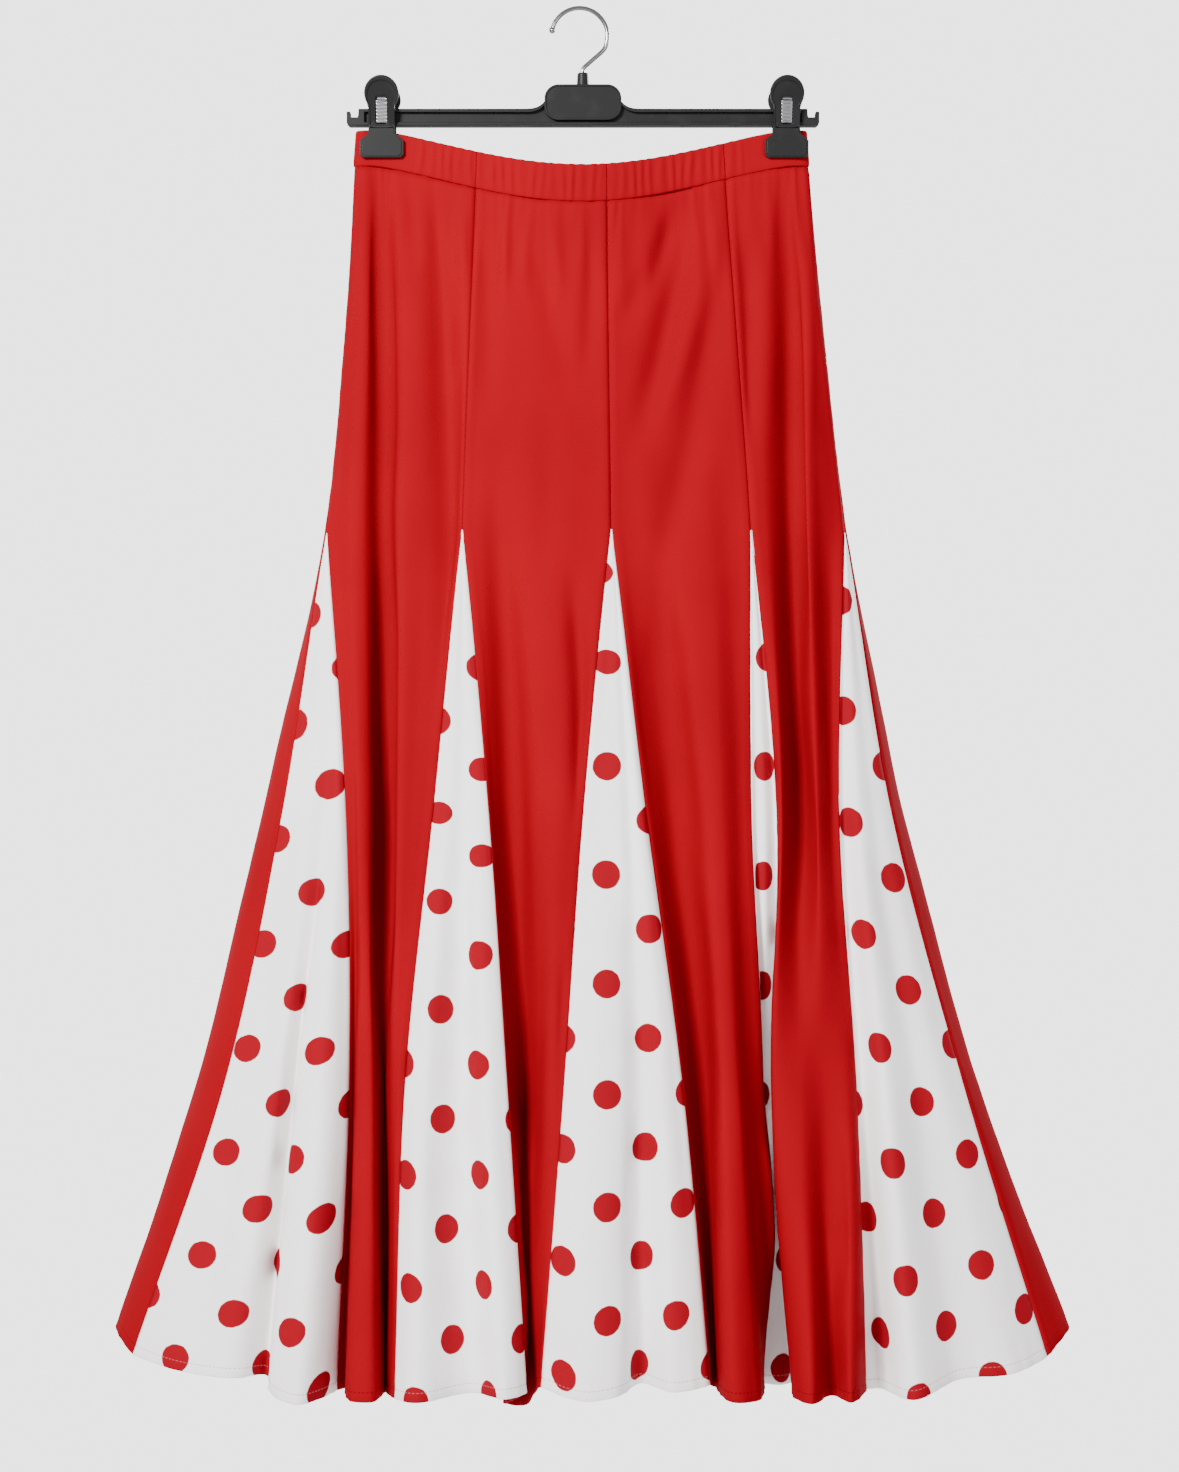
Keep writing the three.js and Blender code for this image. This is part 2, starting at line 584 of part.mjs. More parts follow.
function hookWire() {
  const centreZ = HOOK.wire / 2 - HOOK.radius;
  const points = [];
  const turns = 14;
  for (let i = 0; i <= turns; i++) {
    const angle = THREE.MathUtils.degToRad(THREE.MathUtils.lerp(HOOK.tipAngle, HOOK.leaveAngle, i / turns));
    const x = HOOK.centreX + HOOK.radius * Math.cos(angle);
    points.push(new THREE.Vector3(x, 0, centreZ + HOOK.radius * Math.sin(angle)));
  }
  points.push(new THREE.Vector3(9, 0, -39.5));
  points.push(new THREE.Vector3(SHANK_X, 0, SOCKET.topZ + 3));
  points.push(new THREE.Vector3(SHANK_X, 0, SOCKET.topZ - 1));
  points.push(new THREE.Vector3(SHANK_X, 0, SOCKET.boreFloor + SEAM_GAP));
  const section = new THREE.Shape();
  section.absarc(0, 0, HOOK.wire / 2, 0, 2 * Math.PI, false);
  const path = new THREE.CatmullRomCurve3(points);
  const options = { extrudePath: path, steps: 44, curveSegments: 6, bevelEnabled: false };
  const wire = solidOf(new THREE.ExtrudeGeometry(section, options));
  const ball = new THREE.SphereGeometry(HOOK.ball, 12, 8);
  ball.translate(points[0].x, 0, points[0].z);
  return geometryOf(wire.add(solidOf(ball)));
}

// The lever of a clip in front of the bar, about x = 0: its jaw lies on the band and its head leans out.
function clipLever() {
  const spread = Math.asin(CLIP.neckHalf / CLIP.headRadius);
  const head = new THREE.Shape();
  head.moveTo(-CLIP.neckHalf, CLIP.bendZ);
  head.lineTo(CLIP.neckHalf, CLIP.bendZ);
  head.absarc(0, CLIP.headZ, CLIP.headRadius, spread - Math.PI / 2, 1.5 * Math.PI - spread, false);
  head.closePath();
  const [outer, inner] = [-CLIP.backY - CLIP.thickness, -CLIP.backY];
  const upper = plateOf(head, outer, inner, 10);
  const lean = new THREE.Matrix4().makeShear(0, 0, 0, 0, 0, -CLIP.splay);
  upper.translate(0, 0, -CLIP.bendZ);
  upper.applyMatrix4(lean);
  upper.translate(0, 0, CLIP.bendZ);
  const half = [
    [CLIP.neckHalf, CLIP.bendZ],
    [CLIP.neckHalf, CLIP.neckFoot],
    [CLIP.jawHalf - CLIP.chamfer, CLIP.jawTop],
    [CLIP.jawHalf, CLIP.jawTop - CLIP.chamfer],
    [CLIP.jawHalf, CLIP.jawBottom + CLIP.chamfer],
    [CLIP.jawHalf - CLIP.chamfer, CLIP.jawBottom],
  ];
  const outline = [...half, ...half.map(([x, z]) => [-x, z]).reverse()];
  const jaw = new THREE.Shape(outline.map(([x, z]) => new THREE.Vector2(x, z)));
  const pad = boxOf([1 - CLIP.jawHalf, CLIP.jawHalf - 1], [inner - 1, -CLIP.padY],
    [CLIP.jawBottom + 1, CLIP.jawTop - 1]);
  const window = boxOf([-CLIP.windowHalf, CLIP.windowHalf], [-40, 0], [CLIP.windowBottom, CLIP.windowTop]);
  return geometryOf(
    solidOf(upper).add(solidOf(plateOf(jaw, outer, inner))).add(solidOf(pad)).subtract(solidOf(window)),
  );
}

// The steel strip that bends over the bar and shows in the windows of both levers.
function clipSpring() {
  const side = [
    [-7, -89.6],
    [-9.1, -81],
    [-11, -73],
    [-7.2, -67.6],
    [0, -66],
  ];
  const points = [...side, ...side.slice(0, -1).map(([y, z]) => [-y, z]).reverse()];
  const path = new THREE.CatmullRomCurve3(points.map(([y, z]) => new THREE.Vector3(0, y, z)));
  const middle = path.getSpacedPoints(24);
  const edge = (way) =>
    middle.map((point, i) => {
      const along = path.getTangentAt(i / 24);
      const [dy, dz] = [-along.z, along.y];
      return new THREE.Vector2(point.y + (way * SPRING.thickness * dy) / 2, point.z + (way * SPRING.thickness * dz) / 2);
    });
  const shape = new THREE.Shape([...edge(1), ...edge(-1).reverse()]);
  const strip = new THREE.ExtrudeGeometry(shape, { depth: 2 * SPRING.halfWidth, bevelEnabled: false });
  strip.rotateX(Math.PI / 2);
  strip.rotateZ(Math.PI / 2);
  strip.translate(-SPRING.halfWidth, 0, 0);
  return strip;
}

const finish = (color, roughness, metalness) => new THREE.MeshStandardMaterial({ color, roughness, metalness });
const redJersey = finish(0xd8001c, 0.75, 0);
const dottedJersey = finish(0xf6f1f1, 0.75, 0);
const blackPlastic = finish(0x2e2e2f, 0.5, 0);
const chrome = finish(0xc8c8c8, 0.2, 1);

const skirt = new THREE.Group();
const hanger = new THREE.Group();

function addMesh(group, name, geometry, material) {
  const mesh = new THREE.Mesh(geometry, material);
  mesh.name = name;
  group.add(mesh);
  return mesh;
}

const half = () => CLOTH_WALL / 2;
surfaces.forEach(({ node, isGodet }, index) => {
  const frames = isGodet ? godetFrames(index) : goreFrames(index);
  addMesh(skirt, node, wallGeometry(frames, half, CLOTH_WALL / 2), isGodet ? dottedJersey : redJersey);
});

const gores = surfaces.filter(({ isGodet }) => !isGodet);
const bands = gores.map(bandRows);
gores.forEach(({ node }, index) => {
  const beside = (by) => (r) => bands[(index + by + bands.length) % bands.length][r];
  const frames = framesOf(bands[index], beside(-1), beside(1));
  const outer = (r, c) => BAND_WALL / 2 + gatherAt(frames[r][c], r, c);
  addMesh(skirt, node.replace("gore", "waistband"), wallGeometry(frames, outer, BAND_WALL / 2), redJersey);
});

addMesh(hanger, "hanger_bar", hangerBar(), blackPlastic);
addMesh(hanger, "hanger_hook", hookWire(), chrome);
for (const [side, x] of Object.entries(CLIP.places)) {
  const clip = new THREE.Group();
  clip.position.x = x;
  addMesh(clip, `clip_${side}_front_lever`, clipLever(), blackPlastic);
  addMesh(clip, `clip_${side}_back_lever`, clipLever(), blackPlastic).rotation.z = Math.PI;
  addMesh(clip, `clip_${side}_spring`, clipSpring(), chrome);
  hanger.add(clip);
}

const part = new THREE.Group();
part.add(skirt, hanger);
export default part;
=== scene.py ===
# Flamenco skirt of plain gores and dotted godets on a clip hanger. The frame's tables are in
# millimetres, the scene in metres. The origin is the hook's inner crest and the front faces -Y.
from math import cos, exp, floor, hypot, pi, radians, sin, sqrt
import bpy
import bmesh
from mathutils import Vector, Matrix, noise


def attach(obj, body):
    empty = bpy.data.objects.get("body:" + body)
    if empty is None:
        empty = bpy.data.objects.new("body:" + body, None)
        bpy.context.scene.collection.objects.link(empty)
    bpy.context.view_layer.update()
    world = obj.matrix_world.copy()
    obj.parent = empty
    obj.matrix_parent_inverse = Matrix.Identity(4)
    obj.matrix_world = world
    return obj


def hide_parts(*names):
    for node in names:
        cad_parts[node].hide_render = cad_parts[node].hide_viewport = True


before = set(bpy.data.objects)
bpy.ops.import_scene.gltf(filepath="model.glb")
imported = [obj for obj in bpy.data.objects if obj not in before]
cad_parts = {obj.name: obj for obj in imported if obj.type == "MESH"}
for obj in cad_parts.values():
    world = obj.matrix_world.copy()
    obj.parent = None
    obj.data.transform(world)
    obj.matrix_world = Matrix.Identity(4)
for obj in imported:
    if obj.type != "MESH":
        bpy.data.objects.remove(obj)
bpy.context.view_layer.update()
mm = 0.001
print("frame loaded")

# The picture is 1179 by 1472 and spans this height at the skirt's middle plane
view = {"height": 1.148, "distance": 2.2, "x": 0.0074, "z": -0.566, "sensor": 36.0}


def addCamera():
    data = bpy.data.cameras.new("camera")
    data.sensor_fit = "VERTICAL"
    data.sensor_height = view["sensor"]
    data.lens = view["sensor"] * view["distance"] / view["height"]
    camera = bpy.data.objects.new("camera", data)
    camera.location = (view["x"], -view["distance"], view["z"])
    camera.rotation_euler = (pi / 2, 0, 0)
    bpy.context.collection.objects.link(camera)
    bpy.context.scene.camera = camera


addCamera()

# Materials


def operator(operation, swapped=False):
    def apply(wire, other):
        return wire.graph.maths(operation, *((other, wire) if swapped else (wire, other)))

    return apply


# A node's output, which can be added to and multiplied like a number
class Wire:
    def __init__(self, graph, socket):
        self.graph = graph
        self.socket = socket

    __add__ = __radd__ = operator("ADD")
    __sub__ = operator("SUBTRACT")
    __rsub__ = operator("SUBTRACT", swapped=True)
    __mul__ = operator("MULTIPLY")
    __truediv__ = operator("DIVIDE")


class Graph:
    def __init__(self, name):
        self.material = bpy.data.materials.new(name)
        self.material.use_nodes = True
        self.tree = self.material.node_tree
        self.shader = self.tree.nodes["Principled BSDF"]

    def add(self, kind, settings=None, sockets=None, output=0):
        node = self.tree.nodes.new(kind)
        for name, value in (settings or {}).items():
            setattr(node, name, value)
        for key, value in (sockets or {}).items():
            self.feed(node.inputs[key], value)
        return Wire(self, node.outputs[output])

    def feed(self, socket, value):
        if isinstance(value, Wire):
            self.tree.links.new(value.socket, socket)
        else:
            socket.default_value = value

    def maths(self, operation, *values):
        return self.add("ShaderNodeMath", {"operation": operation}, dict(enumerate(values)))

    def mix(self, factor, low, high):
        return self.add("ShaderNodeMix", {"data_type": "RGBA"}, {0: factor, 6: low, 7: high}, 2)

    def step(self, value, low, high):
        sockets = {"Value": value, "From Min": low, "From Max": high}
        return self.add("ShaderNodeMapRange", {"interpolation_type": "SMOOTHSTEP"}, sockets)

    def noise(self, scale, detail=2.0, stretch=(1, 1, 1)):
        spot = self.add("ShaderNodeTexCoord", {}, {}, "Object")
        where = self.add("ShaderNodeMapping", {}, {"Vector": spot, "Scale": stretch})
        return self.add("ShaderNodeTexNoise", {}, {"Vector": where, "Scale": scale, "Detail": detail})

    def axes(self, where):
        first = self.add("ShaderNodeSeparateXYZ", {}, {0: where})
        return [Wire(self, output) for output in first.socket.node.outputs]

    def uv(self, name):
        return self.add("ShaderNodeUVMap", {"uv_map": name})

    def bump(self, height, distance, strength=1.0):
        return self.add("ShaderNodeBump", {}, {"Height": height, "Distance": distance, "Strength": strength})

    def finish(self, **sockets):
        for name, value in sockets.items():
            self.feed(self.shader.inputs[name.replace("_", " ")], value)
        return self.material


# The cloth's own map is in metres: u across the panel, v down it. The hem map is u along the hem, v above it.
knit = {"wale": 0.0011, "waleRise": 0.16, "fuzzRise": 0.5, "softRise": 0.7, "bump": 0.00022, "strength": 0.55}
stitch = {"above": 0.0062, "line": (0.0002, 0.0006), "pitch": 0.0034, "length": 0.0022, "edge": 0.0002, "sunk": 2.2}
dots = {"across": 0.035, "down": 0.082, "radius": 0.0114, "edge": 0.0004, "rough": 0.0009}


def hemStitches(graph):
    along, above, _ = graph.axes(graph.uv("hem"))
    line = 1.0 - graph.step(graph.maths("ABSOLUTE", above - stitch["above"]), *stitch["line"])
    dash = graph.maths("ABSOLUTE", graph.maths("PINGPONG", along, stitch["pitch"] / 2))
    half = stitch["length"] / 2
    return line * (1.0 - graph.step(dash, half - stitch["edge"], half + stitch["edge"]))


def clothBump(graph, stitches):
    u = graph.axes(graph.uv("cloth"))[0]
    wales = graph.maths("PINGPONG", u, knit["wale"] / 2) / (knit["wale"] / 2)
    fuzz = graph.noise(900.0, 3.0)
    soft = graph.noise(140.0)
    height = wales * knit["waleRise"] + fuzz * knit["fuzzRise"] + soft * knit["softRise"] - stitches * stitch["sunk"]
    return graph.bump(height, knit["bump"], knit["strength"])


red = {
    "shade": 7.0,
    "deep": (0.205, 0.0, 0.0046, 1),
    "light": (0.23, 0.0, 0.0051, 1),
    "over": (0.26, 0.0002, 0.003, 1),
    "thread": (0.13, 0.0, 0.003, 1),
    "threadShare": 0.6,
}
white = {
    "shade": 9.0,
    "deep": (0.88, 0.835, 0.835, 1),
    "light": (0.93, 0.895, 0.895, 1),
    "over": (0.23, 0.0, 0.0065, 1),
    "thread": (0.4, 0.12, 0.13, 1),
    "threadShare": 0.45,
}
black = {"clean": (0.007, 0.007, 0.0073, 1), "dusty": (0.012, 0.012, 0.0125, 1)}


def fuzzShare(graph):
    return graph.noise(420.0) * 0.1


def dotShare(graph):
    u, v, _ = graph.axes(graph.uv("cloth"))
    rough = graph.noise(260.0) * dots["rough"]
    nearest = None
    for shiftU, shiftV in ((0.0, 0.0), (dots["across"], dots["down"] / 2)):
        offU = graph.maths("PINGPONG", u + shiftU, dots["across"])
        offV = graph.maths("PINGPONG", v + shiftV, dots["down"] / 2)
        apart = graph.maths("SQRT", offU * offU + offV * offV)
        nearest = apart if nearest is None else graph.maths("MINIMUM", nearest, apart)
    return 1.0 - graph.step(nearest + rough, dots["radius"] - dots["edge"], dots["radius"] + dots["edge"])


# Jersey between two shades, with its fuzz or dots over them and the thread of its hem
def jersey(name, look, overShare, **surface):
    graph = Graph(name)
    stitches = hemStitches(graph)
    base = graph.mix(graph.step(graph.noise(look["shade"], 3.0), 0.3, 0.7), look["deep"], look["light"])
    base = graph.mix(overShare(graph), base, look["over"])
    base = graph.mix(stitches * look["threadShare"], base, look["thread"])
    return graph.finish(Base_Color=base, Normal=clothBump(graph, stitches), **surface)


redSurface = {"Roughness": 0.78, "Specular_IOR_Level": 0.03, "Sheen_Weight": 0.03, "Sheen_Roughness": 0.4}
redSurface["Sheen_Tint"] = (1.0, 0.02, 0.05, 1)
dottedSurface = {"Roughness": 0.8, "Specular_IOR_Level": 0.08, "Subsurface_Weight": 0.06}
dottedSurface["Subsurface_Radius"] = (0.004, 0.002, 0.002)


def blackPlastic():
    graph = Graph("black plastic")
    grain = graph.noise(1400.0, 3.0)
    dust = graph.step(graph.noise(60.0, 4.0), 0.45, 0.75)
    base = graph.mix(dust * 0.35, black["clean"], black["dusty"])
    return graph.finish(
        Base_Color=base,
        Roughness=0.42 + dust * 0.12,
        Specular_IOR_Level=0.16,
        Normal=graph.bump(grain, 0.00006, 0.6),
    )


def chromeWire():
    graph = Graph("chrome wire")
    smear = graph.noise(90.0, 3.0, (1, 1, 6))
    return graph.finish(Base_Color=(0.22, 0.22, 0.225, 1), Metallic=1.0, Roughness=0.1 + smear * 0.14)


def springSteel():
    graph = Graph("spring steel")
    smear = graph.noise(240.0, 3.0, (1, 1, 5))
    return graph.finish(Base_Color=(0.24, 0.24, 0.25, 1), Metallic=1.0, Roughness=0.24 + smear * 0.2)


materials = {
    "red_jersey": jersey("red jersey", red, fuzzShare, **redSurface),
    "dotted_jersey": jersey("dotted jersey", white, dotShare, **dottedSurface),
    "black_plastic": blackPlastic(),
    "chrome_wire": chromeWire(),
    "spring_steel": springSteel(),
}
print("materials made")


def place(obj, node, slot):
    obj.data.materials.append(materials[slot])
    bpy.context.collection.objects.link(obj)
    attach(obj, "root")
    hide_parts(node)
    return obj


# Skirt: the frame's own form, from tables like its solids', with the front's folds a little closer to the photo

# The body that the cloth hangs on, from the band's lower edge to the hem
stations = {
    "z": (-137, -253, -407, -622, -832, -1056),
    "halfWidth": (177, 187.5, 204, 250, 304, 372),
    "centre": (1.6, 3.4, 4.7, 2.6, 5.5, 9.2),
    "depth": (14, 26, 46, 68, 84, 98),
}
apex = 2  # station where the godets start
hem = 5
seamGap = 0.3
band = {
    "topAtSide": -94.2, "bottomAtSide": -122.5, "topSag": 28.3, "bottomSag": 29.5, "sagHalfSpan": 165,
    "sagSharpness": 1.4, "pinch": 3.2, "bow": 11, "bowHalfSpan": 0.84, "sideRoundness": 36, "topNarrowing": 0.012,
}
hemForm = {"middle": -1055, "flutes": -1062, "side": -1034, "fluteAt": 0.5, "rise": 2.6, "swaySharpness": 1.3}


# A seam or fold line: its place x at each station, how far behind the body it lies at each station below
# the band, how much lower it ends and how far it swings aside just above the hem
def fold(line, x, inset=(0, 0, 0, 0, 0), drop=0, sway=0):
    return {"line": line, "x": x, "inset": inset, "drop": drop, "sway": sway}


# From the left side round the front. A godet's own lines have the last three stations alone.
panels = {}
panels["gore_front_left_side"] = [
    fold("side seam", (-176, -183, -197, -179, -175, -184), (0, 0, 3, 12, 26)),
    fold("valley beside it", (-171, -176, -185, -173, -172, -179), (0, 1, 5, 18, 34)),
    fold("flute's left", (-167, -171, -176, -168, -167, -171), (-1, 0, 3, 2, -8)),
    fold("flute's right", (-163, -164, -168, -160, -157, -155), (0, 3, 8, 0, -10)),
    fold("dark valley", (-157, -155, -153, -150, -149, -147), (6, 15, 26, 26, 30)),
    fold("rolled edge", (-146, -143, -141, -141, -142, -144), (-1, -3, -6, 4, 16)),
    fold("broad face", (-115, -108, -115, -126, -137, -141), (1, 1, -3, 1, 8)),
    fold("left seam", (-81, -85, -90, -111, -132, -139), (0, 0, 0, 2, 3)),
]
panels["godet_front_left"] = [
    fold("broad flute", (-100, -116, -120), (-2, -8, -14)),
    fold("facet", (-88, -90, -82), (2, 9, 14)),
    fold("narrow flute", (-78, -70, -55), (-2, -8, -12)),
]
panels["gore_front_left"] = [
    fold("left seam", (-81, -85, -90, -69, -54, -39), (0, 0, 0, 1, 6)),
    fold("turned edge", (-66, -69, -77, -64, -51, -51), (0, 1, 8, 18, 34), drop=12),
    fold("deep valley", (-50, -54, -62, -52, -44, -56), (0, 3, 16, 34, 62), drop=21),
    fold("return", (-27, -27, -34, -33, -32, -42), (0, 0, 2, 16, 44), drop=18),
    fold("face", (-4, -3, -7, -16, -23, -33), (0, 0, -3, 2, 18)),
    fold("centre seam", (21, 22, 24, 3, -12, -29), (0, 0, 0, 0, 2), drop=-5),
]
panels["godet_front_centre"] = [
    fold("left flute", (16, 9, 4), (-2, -8, -13), drop=3),
    fold("middle", (30, 30, 29), (-3, -6, -7)),
    fold("fold", (38, 46, 46), (0, 6, 18), drop=-4),
    fold("right flute", (44, 63, 70), (-2, -2, -4), drop=-3),
]
panels["gore_front_right"] = [
    fold("centre seam", (21, 22, 24, 50, 78, 98), (0, 0, 2, 6, 8), drop=-7),
    fold("valley", (35, 35, 42, 70, 91, 102), (0, 3, 18, 27, 34)),
    fold("bright flute", (58, 62, 74, 93, 106, 114), (0, -1, -3, -6, -16)),
    fold("side of the flute", (81, 87, 98, 107, 118, 132), (0, -2, -5, -6, -8)),
    fold("dark line", (99, 105, 115, 121, 127, 140), (0, 1, 4, 11, 28)),
    fold("right seam", (113, 121, 131, 131, 140, 139), (0, 0, 5, 20, 48), sway=8),
]
panels["godet_front_right"] = [
    fold("folded back left", (134, 133, 126), (9, 35, 64)),
    fold("strip that shows", (141, 142, 150), (7, 30, 46)),
    fold("folded back right", (149, 158, 178), (11, 45, 66)),
]
panels["gore_front_right_side"] = [
    fold("right seam", (113, 121, 131, 150, 149, 167), (0, 0, 7, 22, 38), sway=-4),
    fold("first crest", (136, 139, 144, 153, 146, 160), (0, 0, -3, 2, 6)),
    fold("sharp fold", (158, 162, 163, 168, 166, 173), (6, 12, 18, 0, -16)),
    fold("second crest", (168, 173, 175, 180, 183, 190), (-2, -3, -6, 5, 11)),
    fold("thin fold", (173, 183, 187, 193, 204, 202), (0, 3, 5, 3, -14)),
    fold("side seam", (178, 190, 206, 199, 211, 218), (0, 0, 3, 12, 26)),
]
panels["godet_side_right"] = [
    fold("valley", (202, 215, 229), (6, 14, 26)),
    fold("flute", (213, 231, 251), (-2, -7, -12), drop=2),
    fold("face", (225, 256, 289), (0, 2, 6), drop=-4),
    fold("outer face", (234, 276, 327), (-1, -2, -4)),
]
panels["gore_back_right_side"] = [
    fold("side seam", (178, 190, 206, 240, 295, 359)),
    fold("outline", (175, 187, 207, 252, 309, 381), drop=-8),
    fold("side flute", (158, 168, 183, 230, 288, 361), (-1, -2, -3, -6, -10)),
    fold("valley", (142, 148, 160, 200, 256, 322), (2, 5, 8, 14, 24)),
    fold("crest", (126, 132, 140, 176, 228, 296), (0, -1, -3, -6, -12)),
    fold("right seam", (112, 118, 126, 160, 212, 280), (0, 0, 0, 2, 6)),
]
panels["godet_back_right"] = [
    fold("flute", (152, 192, 250), (-2, -7, -14)),
    fold("fold", (142, 172, 225), (1, 10, 26)),
    fold("broad flute", (132, 150, 194), (-2, -8, -12)),
]
panels["gore_back_right"] = [
    fold("right seam", (112, 118, 126, 122, 132, 162), (0, 0, 2, 6, 12)),
    fold("right valley", (98, 102, 106, 104, 118, 150), (1, 3, 8, 16, 30)),
    fold("flute", (78, 80, 84, 86, 102, 132), (-1, -2, -4, -9, -18)),
    fold("left valley", (55, 55, 56, 62, 78, 108), (1, 2, 6, 14, 26)),
    fold("centre seam", (18, 18, 20, 42, 66, 94), (0, 0, 0, 2, 6)),
]
panels["godet_back_centre"] = [
    fold("flute", (34, 50, 70), (-2, -8, -14)),
    fold("fold", (22, 26, 38), (2, 8, 20)),
    fold("broad flute", (10, 2, 2), (-2, -7, -12)),
    fold("side of the flute", (-1, -22, -30), (-1, -2, -4)),
]
panels["gore_back_left"] = [
    fold("centre seam", (18, 18, 20, -8, -40, -56), (0, 0, 1, 4, 8)),
    fold("right valley", (-10, -10, -8, -22, -48, -62), (0, 1, 6, 18, 34)),
    fold("flute", (-36, -36, -38, -42, -62, -80), (0, -1, -4, -8, -16)),
    fold("left valley", (-60, -60, -64, -60, -78, -104), (2, 4, 8, 14, 28)),
    fold("left seam", (-84, -88, -94, -76, -90, -118), (0, 0, 0, 4, 8)),
]
panels["godet_back_left"] = [
    fold("flute", (-84, -108, -142), (-2, -7, -14)),
    fold("fold", (-94, -128, -172), (1, 9, 24)),
    fold("broad flute", (-105, -148, -204), (-2, -7, -12)),
]
panels["gore_back_left_side"] = [
    fold("left seam", (-84, -88, -94, -116, -166, -232), (0, 0, 0, 2, 6)),
    fold("crest", (-100, -106, -112, -134, -184, -252), (-1, -2, -4, -6, -12)),
    fold("valley", (-120, -128, -136, -160, -214, -286), (2, 4, 8, 14, 24)),
    fold("side flute", (-145, -152, -165, -202, -258, -330), (-1, -2, -3, -6, -10)),
    fold("outline", (-171, -181, -198, -247, -298, -362), drop=-8),
    fold("side seam", (-176, -183, -197, -229, -273, -344)),
]
panels["godet_side_left"] = [
    fold("outer face", (-221, -253, -305), (-1, -2, -4), drop=-4),
    fold("face", (-207, -229, -262), (-4, -6, -6), drop=-9),
    fold("fold", (-195, -218, -239), (0, 12, 24), drop=-8),
    fold("sharp edge", (-191, -213, -231), (-1, -1, -3)),
    fold("flute", (-185, -195, -211), (-2, -8, -14), drop=3),
]
ring = list(panels)


def hermite(f):
    f2, f3 = f * f, f * f * f
    return 2 * f3 - 3 * f2 + 1, f3 - 2 * f2 + f, 3 * f2 - 2 * f3, f3 - f2


def through(values, t):
    last = len(values) - 1
    i = min(last - 1, max(0, floor(t)))
    f = t - i
    a, b = values[i], values[i + 1]
    before = values[i - 1] if i > 0 else 2 * a - b
    after = values[i + 2] if i + 2 <= last else 2 * b - a
    leave, arrive = (b - before) / 2, (after - a) / 2
    fromA, byLeave, fromB, byArrive = hermite(f)
    return fromA * a + byLeave * leave + fromB * b + byArrive * arrive


def smooth(t):
    t = min(1.0, max(0.0, t))
    return t * t * (3 - 2 * t)


def mixed(a, b, t):
    return a + (b - a) * t


def bodyDepth(x, s):
    centre, halfWidth = through(stations["centre"], s), through(stations["halfWidth"], s)
    u = min(1.0, abs((x - centre) / halfWidth))
    bowed = band["bow"] * max(0.0, 1 - (u / band["bowHalfSpan"]) ** 2) ** 2
    flat = (band["pinch"] + bowed) * sqrt(1 - u ** band["sideRoundness"])
    return mixed(flat, through(stations["depth"], s) * sqrt(1 - u * u), smooth(s))


def sag(x):
    turn = min(1.0, abs(x - stations["centre"][0]) / band["sagHalfSpan"]) * pi / 2
    return max(0.0, cos(turn)) ** band["sagSharpness"]


def bandBottom(x):
    return band["bottomAtSide"] - band["bottomSag"] * sag(x)


def bandTop(x):
    return band["topAtSide"] - band["topSag"] * sag(x)


def hemHeight(x):
    u = min(1.0, abs((x - stations["centre"][hem]) / stations["halfWidth"][hem]))
    if u < hemForm["fluteAt"]:
        return mixed(hemForm["middle"], hemForm["flutes"], smooth(u / hemForm["fluteAt"]))
    share = ((u - hemForm["fluteAt"]) / (1 - hemForm["fluteAt"])) ** hemForm["rise"]
    return mixed(hemForm["flutes"], hemForm["side"], share)


def pointOn(line, s, isSeam):
    inset = (0,) + tuple(line["inset"])
    start, stop = 0, hem + 1
    if isSeam and s <= apex:
        stop = apex + 1
    if isSeam and s > apex:
        start = apex
    x = through(line["x"][start:stop], s - start)
    nearHem = min(1.0, max(0.0, s - hem + 1))
    x += line["sway"] * sin(pi * nearHem) ** hemForm["swaySharpness"]
    depth = bodyDepth(x, s) - through(inset[start:stop], s - start)
    heights = list(stations["z"])
    heights[0] = bandBottom(line["x"][0]) - seamGap / 2
    heights[hem] = hemHeight(line["x"][hem]) - line["drop"]
    return Vector((x, depth if line["back"] else -depth, through(heights, s)))


def linesOf(name):
    return [dict(line, back="back" in name and line["line"] != "side seam") for line in panels[name]]


# A godet has its neighbours' seams as its first and last line
def wholeLines(name):
    if not name.startswith("godet"):
        return linesOf(name)
    i = ring.index(name)
    left = linesOf(ring[i - 1])[-1]
    right = linesOf(ring[(i + 1) % len(ring)])[0]
    own = linesOf(name)
    for line in own:
        line["x"] = left["x"][: apex + 1] + line["x"]
        line["inset"] = left["inset"][:apex] + line["inset"]
    return [left, *own, right]


# Points along one row of a panel, on a smooth curve through its lines
def rowThrough(knots, steps):
    last = len(knots) - 1
    chords = [max(1e-6, sqrt((b - a).length)) for a, b in zip(knots, knots[1:])]
    slopes = [(b - a) / chord for a, b, chord in zip(knots, knots[1:], chords)]
    tangents = [None] * (last + 1)
    for i in range(1, last):
        before, after = chords[i - 1], chords[i]
        tangents[i] = (slopes[i - 1] * after + slopes[i] * before) / (before + after)
    tangents[0] = slopes[0] * 1.5 - tangents[1] * 0.5
    tangents[last] = slopes[-1] * 1.5 - tangents[last - 1] * 0.5
    row = []
    for i in range(last):
        for k in range(steps):
            fromA, byLeave, fromB, byArrive = hermite(k / steps)
            row.append(
                knots[i] * fromA
                + tangents[i] * (byLeave * chords[i])
                + knots[i + 1] * fromB
                + tangents[i + 1] * (byArrive * chords[i])
            )
    row.append(knots[last].copy())
    return row


